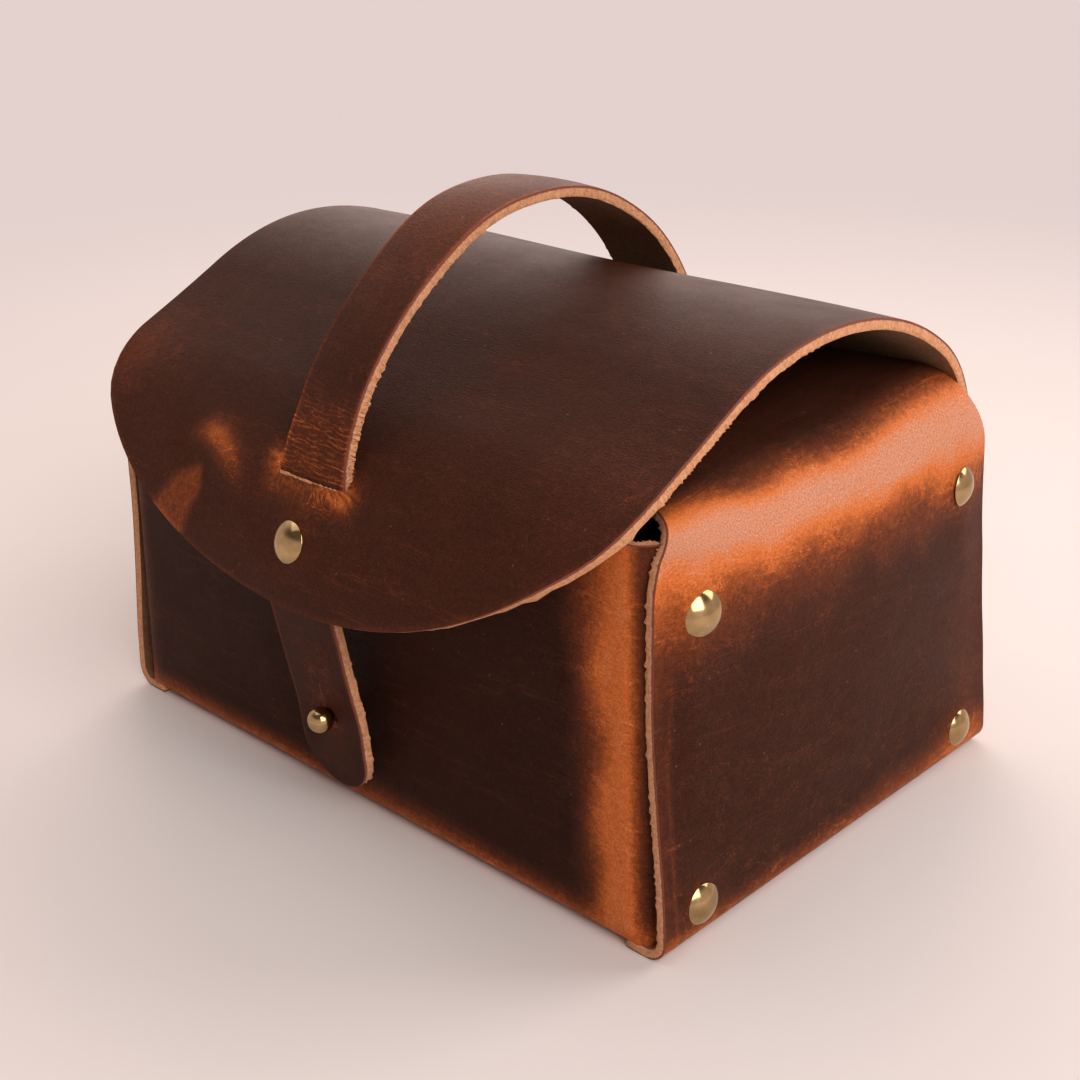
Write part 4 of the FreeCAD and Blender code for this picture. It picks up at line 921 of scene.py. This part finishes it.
# strap: x runs across, y and z follow the strap's line from tab to tail, the tab's end columns fan out to a
# half circle, and a square of cells is drawn out to a circle for the buttonhole, below a slit of cells
def makeStrap():
    settings = strapSettings
    half, hole, slit = settings["halfWidth"], settings["tail"], settings["slitHalf"]
    square, base = settings["holeSquare"], settings["roundEnd"]
    tabLean = math.radians(settings["heading"])
    tabLength = settings["holeDrop"] + settings["tail"]
    hingeY, hingeZ = settings["hinge"]
    tip = (hingeY - math.cos(tabLean) * tabLength, hingeZ - math.sin(tabLean) * tabLength)
    steps = [("run", tabLength + settings["aboveHinge"])] + strapSteps
    line = foldLine(tip, settings["heading"], steps)
    slitTop, end = hole + settings["slitLength"], line["length"]
    column = spread([-half, -10, -square, -slit, slit, square, 10, half],
                    [0.5, 0.5, 0.5, 0.6, 0.5, 0.5, 0.5])
    turned = column / half * math.pi / 2
    endX, endRun = half * np.sin(turned), half - half * np.cos(turned)
    row = spread([0, 2, base, hole - square, hole + square, slitTop, 66, 90, 126, end],
                 [0.6, 0.7, 0.6, 0.6, 0.7, 0.8, 0.8, 0.19, 0.8])
    part = np.clip(1 - row / base, 0, 1)[:, None]
    px = column[None, :] + (endX - column)[None, :] * part
    run = np.where(part > 0, base + (endRun[None, :] - base) * part, row[:, None])
    fromHole = run - hole
    box = np.maximum(np.abs(px), np.abs(fromHole))
    far = np.maximum(np.hypot(px, fromHole), 1e-9)
    pull = ease(settings["holeReach"], square, box)
    grow = (1 - pull) + pull * box / far * settings["holeRadius"] / square
    px, run = px * grow, hole + fromHole * grow
    py, pz, heading = walk(line, np.maximum(run, 0))

    handle = ease(98, 120, run) * ease(end - 40, end - 70, run)
    fold = ease(90, 95, run) * ease(120, 104, run + 3 * ripple(px, run, 16, 19))
    wrinkle = fold * fineFolds(px, run, settings["wrinkleSpacing"], 22)
    lift = handle * (0.5 * (1 - (px / half) ** 2) + 0.3 * ripple(px, run, 60, 17))
    lift += settings["wrinkleHeight"] * ease(92, 94, run) * (wrinkle - 0.4 * fold)
    tab = ease(56, 40, run)
    tabWave = 0.6 * np.sin(run / 52 * math.pi) + 0.2 * ripple(px, run, 40, 24)
    lift += tab * tabWave * ease(0, 12, np.abs(run - hole))
    py, pz = py - np.sin(heading) * lift, pz + np.cos(heading) * lift
    py += settings["tabIn"] * ease(60, 26, run)
    arch = ease(92, 112, run) * ease(190, 140, run)
    py += arch * (settings["leanBack"] - settings["twist"] * px)
    drawn = ease(74, 90, run) * ease(end - 28, 160, run)
    sideways = px * (1 + (settings["handleHalf"] / half - 1) * drawn) + settings["shiftRight"] * drawn
    place = np.stack([sideways + 0.4 * handle * ripple(run, 0 * run, 80, 18), py, pz], -1)

    middleX, middleRun = (column[:-1] + column[1:])[None, :] / 2, (row[:-1] + row[1:])[:, None] / 2
    eye = (np.abs(middleX) < square) & (np.abs(middleRun - hole) < square)
    cut = (np.abs(middleX) < slit) & (middleRun > hole) & (middleRun < slitTop)
    wear = 0.13 - 0.05 * tab + 0.20 * hill(px, run, 0, hole, 7, 9) + 0.22 * ease(11.0, half, np.abs(px))
    # the band about run 180 lightens the top of the handle: partly wear, partly a painted sheen
    wear += 0.25 * fold + 0.40 * (wrinkle - 0.3 * fold) + 0.18 * band(run, 180, 32)
    wear += 0.10 * hill(px, run, 2, 40, 12, 9)
    crease = 0.3 + 0.4 * fold + 0.2 * handle + 0.6 * hill(px, run, 2, 38, 12, 14)
    piece = leatherSheet("strapHide", place, np.stack([px, run], -1), wear, crease, 51, flip=True,
                         keep=~(eye | cut), thick=settings["thickness"])
    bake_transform(piece)
    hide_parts("handle_strap", "closure_tab")


# turned brass: a profile of radius and height revolved about each place's axis, closed at both poles
def turnedPiece(name, profile, places, body, nodes, segments=64):
    angle = np.linspace(0, 2 * np.pi, segments, endpoint=False)
    ring = np.stack([np.cos(angle), np.sin(angle)], -1)
    rings = len(profile) - 2
    heights = np.broadcast_to(profile[1:-1, 1, None, None], (rings, segments, 1))
    sides = np.concatenate([ring[None] * profile[1:-1, 0, None, None], heights], -1).reshape(-1, 3)
    local = np.concatenate([[[0, 0, profile[0, 1]]], sides, [[0, 0, profile[-1, 1]]]])
    index = 1 + np.arange(rings * segments).reshape(rings, segments)
    turned = np.roll(index, -1, 1)
    last = len(local) - 1
    quads = np.stack([index[:-1], turned[:-1], turned[1:], index[1:]], -1).reshape(-1, 4)
    poles = np.concatenate([np.stack([np.zeros(segments, int), turned[0], index[0]], -1),
                            np.stack([np.full(segments, last), index[-1], turned[-1]], -1)])
    faces, points = [], []
    for number, (spot, axis) in enumerate(places):
        axis = unit(np.array(axis, float))
        first = unit(np.cross(axis, [0.3, 0.2, 0.93] if abs(axis[2]) < 0.8 else [1.0, 0.1, 0.0]))
        points.append(local @ np.stack([first, np.cross(axis, first), axis]) + np.array(spot, float))
        faces += (quads + number * len(local)).tolist() + (poles + number * len(local)).tolist()
    piece = makeMesh(name, np.concatenate(points), faces)
    piece.data.materials.append(brass)
    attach(piece, body)
    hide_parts(*nodes)
    print(name, len(faces), "faces")


# rounded rim of a turned piece, from its back at minus 90 degrees round to an angle
def rolledRim(radius, small, last, count):
    roll = np.linspace(-90, last, count) * math.pi / 180
    return np.stack([radius - small + small * np.cos(roll), small + small * np.sin(roll)], -1)


capSettings = {"radius": 5.5, "rim": 0.5, "height": 2.6}


# cap profile: flat back, small rolled rim, then a dome that falls as one minus the square of the radius
def capProfile():
    edge = rolledRim(capSettings["radius"], capSettings["rim"] / 2, 55, 9)
    rimRadius, rimTop = edge[-1]
    r = np.linspace(rimRadius, 0, 18)
    dome = rimTop + (capSettings["height"] - rimTop) * (1 - (r / rimRadius) ** 2) ** 0.9
    return np.concatenate([[[0, 0]], edge, np.stack([r, dome], -1)[1:]])


studSettings = {
    "place": (0, -74.5, 32.2),
    "flange": 2.1,
    "flangeRim": 0.6,
    "neck": 1.7,
    "reach": 12.7,            # centre of the ball, out from the front wall
    "ball": 3.6,
}


# stud profile: rounded flange, neck, and a ball as a circle from the neck up to the axis
def studProfile():
    flange, rim, neck, ballRadius = (studSettings[key] for key in ("flange", "flangeRim", "neck", "ball"))
    turn = np.linspace(-math.acos(neck / ballRadius), math.pi / 2, 30)
    ball = np.stack([ballRadius * np.cos(turn), studSettings["reach"] + ballRadius * np.sin(turn)], -1)
    ball[-1, 0] = 0
    waist = [[neck + 0.2, rim], [neck, rim + 0.5], [neck, ball[0, 1] - 0.3]]
    return np.concatenate([[[0, 0]], rolledRim(flange, rim / 2, 80, 8), waist, ball])


makeFrontHide()
seatsRight = makeEndPanel(1, "endHideRight", "end_flap_right")
seatsLeft = makeEndPanel(-1, "endHideLeft", "end_flap_left")
makeBackWing(1, "backWingRight")
makeBackWing(-1, "backWingLeft")
seatsLid = makeLid()
makeStrap()
print("leather made")

turnedPiece("capsRight", capProfile(), seatsRight, "tub", ["end_rivet_caps_right"])
turnedPiece("capsLeft", capProfile(), seatsLeft, "tub", ["end_rivet_caps_left"])
turnedPiece("capsStrap", capProfile(), seatsLid, "lid", ["strap_rivet_caps"])
turnedPiece("buttonStud", studProfile(), [(studSettings["place"], (0, -1, 0))], "tub", ["closure_stud"])
for node in ("end_rivet_posts_left", "end_rivet_posts_right", "strap_rivet_posts", "stud_screw"):
    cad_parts[node].data.materials.clear()
    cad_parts[node].data.materials.append(brass)
print("brass made")


# pale floor, soft lamps and the camera
stageSettings = {
    "floor": (0.76, 0.69, 0.67),
    "floorHalf": 12000.0,     # millimetres
    "light": (1.0, 0.88, 0.82),
    "backdrop": (0.77, 0.64, 0.615),    # pale colour that the floor runs out into, away from the case
    "fade": (0.22, 0.85),     # metres from the middle over which it does so
    "skyTowards": (-0.75, 0.60, 0.28),  # the pale side of the room lies beyond the case, to the left
    "skyBright": 1.0,
    "skyDim": 0.16,
    # name, place and size in metres, power in watts, colour
    "lamps": [("sideWindow", (1.45, -0.45, 1.05), 1.2, 24.0, (1.0, 0.95, 0.92)),
              ("backWindow", (0.62, 0.98, 0.92), 0.8, 8.0, (1.0, 0.95, 0.92)),
              ("farWindow", (-1.05, 1.15, 0.75), 1.3, 13.0, (1.0, 0.80, 0.71)),
              ("topLamp", (-0.35, -0.25, 1.5), 1.2, 5.0, (1.0, 0.95, 0.92))],
    "lampsTowards": (0, 0, 0.06),
    "camera": (0.3161, -0.3337, 0.2533),
    "yaw": 43.65,
    "pitch": 23.17,
    "roll": 0.45,
    "focal": 1700.9,          # in pixels of a 1080 pixel frame
}


# 1 for camera, glossy and transmission rays, which show the backdrop, and 0 for rays that light the case
def seenRays(tree):
    rays = addNode(tree, "LightPath").outputs
    bent = compute(tree, "MAXIMUM", rays["Is Glossy Ray"], rays["Is Transmission Ray"])
    return compute(tree, "MAXIMUM", rays["Is Camera Ray"], bent)


# the backdrop's own light, from a node of the given kind, mixed over a surface or world where a mask is high
# and a seen ray meets it
def overlaid(tree, mask, under, kind, output):
    share = times(tree, mask, seenRays(tree))
    pale = addNode(tree, kind, {"Color": (*stageSettings["backdrop"], 1), "Strength": 1.0})
    both = addNode(tree, "MixShader", {0: share, 1: under.outputs[0], 2: pale.outputs[0]})
    fill(tree, tree.nodes[output], {"Surface": both.outputs[0]})


def makeFloor():
    corners = np.array([(-1, -1, 0), (1, -1, 0), (1, 1, 0), (-1, 1, 0)]) * stageSettings["floorHalf"]
    floor = makeMesh("floor", corners, [(0, 1, 2, 3)])
    material, tree, shader = newMaterial("paleFloor")
    place = addNode(tree, "TexCoord").outputs["Object"]
    shade = tuple(c * 0.97 for c in stageSettings["floor"])
    tone = rampNode(tree, noise(tree, place, 3.0, 3.0, 0.5), [(0.3, shade), (0.7, stageSettings["floor"])])
    fill(tree, shader, {"Base Color": tone, "Roughness": 0.9, "Specular IOR Level": 0.1})
    far = addNode(tree, "VectorMath", {0: place}, operation="LENGTH").outputs["Value"]
    outer = ranged(tree, far, *stageSettings["fade"])
    overlaid(tree, outer, shader, "Emission", "Material Output")
    floor.data.materials.append(material)


# world: pale towards one side of the room and dim elsewhere, by the angle to that side, with the backdrop's
# colour near the horizon
def makeLight():
    world = bpy.data.worlds.new("studio")
    world.use_nodes = True
    tree = world.node_tree
    back = tree.nodes["Background"]
    direction = addNode(tree, "TexCoord").outputs["Generated"]
    inputs = {0: direction, 1: tuple(unit(np.array(stageSettings["skyTowards"])))}
    facing = addNode(tree, "VectorMath", inputs, operation="DOT_PRODUCT").outputs["Value"]
    strength = ranged(tree, facing, 0.10, 0.90, stageSettings["skyDim"], stageSettings["skyBright"])
    fill(tree, back, {"Strength": strength, "Color": (*stageSettings["light"], 1)})
    upward = addNode(tree, "SeparateXYZ", {0: direction}).outputs[2]
    overlaid(tree, ranged(tree, upward, 0.30, 0.60, 1.0, 0.0), back, "Background", "World Output")
    bpy.context.scene.world = world
    for name, spot, size, power, colour in stageSettings["lamps"]:
        lamp = bpy.data.lights.new(name, "AREA")
        lamp.size, lamp.energy, lamp.color = size, power, colour
        item = addObject(name, lamp)
        item.location = spot
        aim = Vector(stageSettings["lampsTowards"]) - Vector(spot)
        item.rotation_euler = aim.to_track_quat("-Z", "Y").to_euler()


# camera basis: forward from yaw and pitch, right and down turned by the roll
def makeCamera():
    yaw, pitch, roll = (math.radians(stageSettings[key]) for key in ("yaw", "pitch", "roll"))
    forward = Vector((-math.sin(yaw) * math.cos(pitch), math.cos(yaw) * math.cos(pitch), -math.sin(pitch)))
    right = Vector((math.cos(yaw), math.sin(yaw), 0))
    down = forward.cross(right)
    rolled = right * math.cos(roll) + down * math.sin(roll)
    up = right * math.sin(roll) - down * math.cos(roll)
    data = bpy.data.cameras.new("camera")
    data.sensor_width = 36.0
    data.lens = 36.0 * stageSettings["focal"] / 1080.0
    camera = addObject("camera", data)
    basis = Matrix((rolled, up, -forward)).transposed()
    camera.matrix_world = Matrix.Translation(stageSettings["camera"]) @ basis.to_4x4()
    bpy.context.scene.camera = camera


makeFloor()
makeLight()
makeCamera()
bpy.context.scene.view_settings.view_transform = "Standard"
print("stage made")
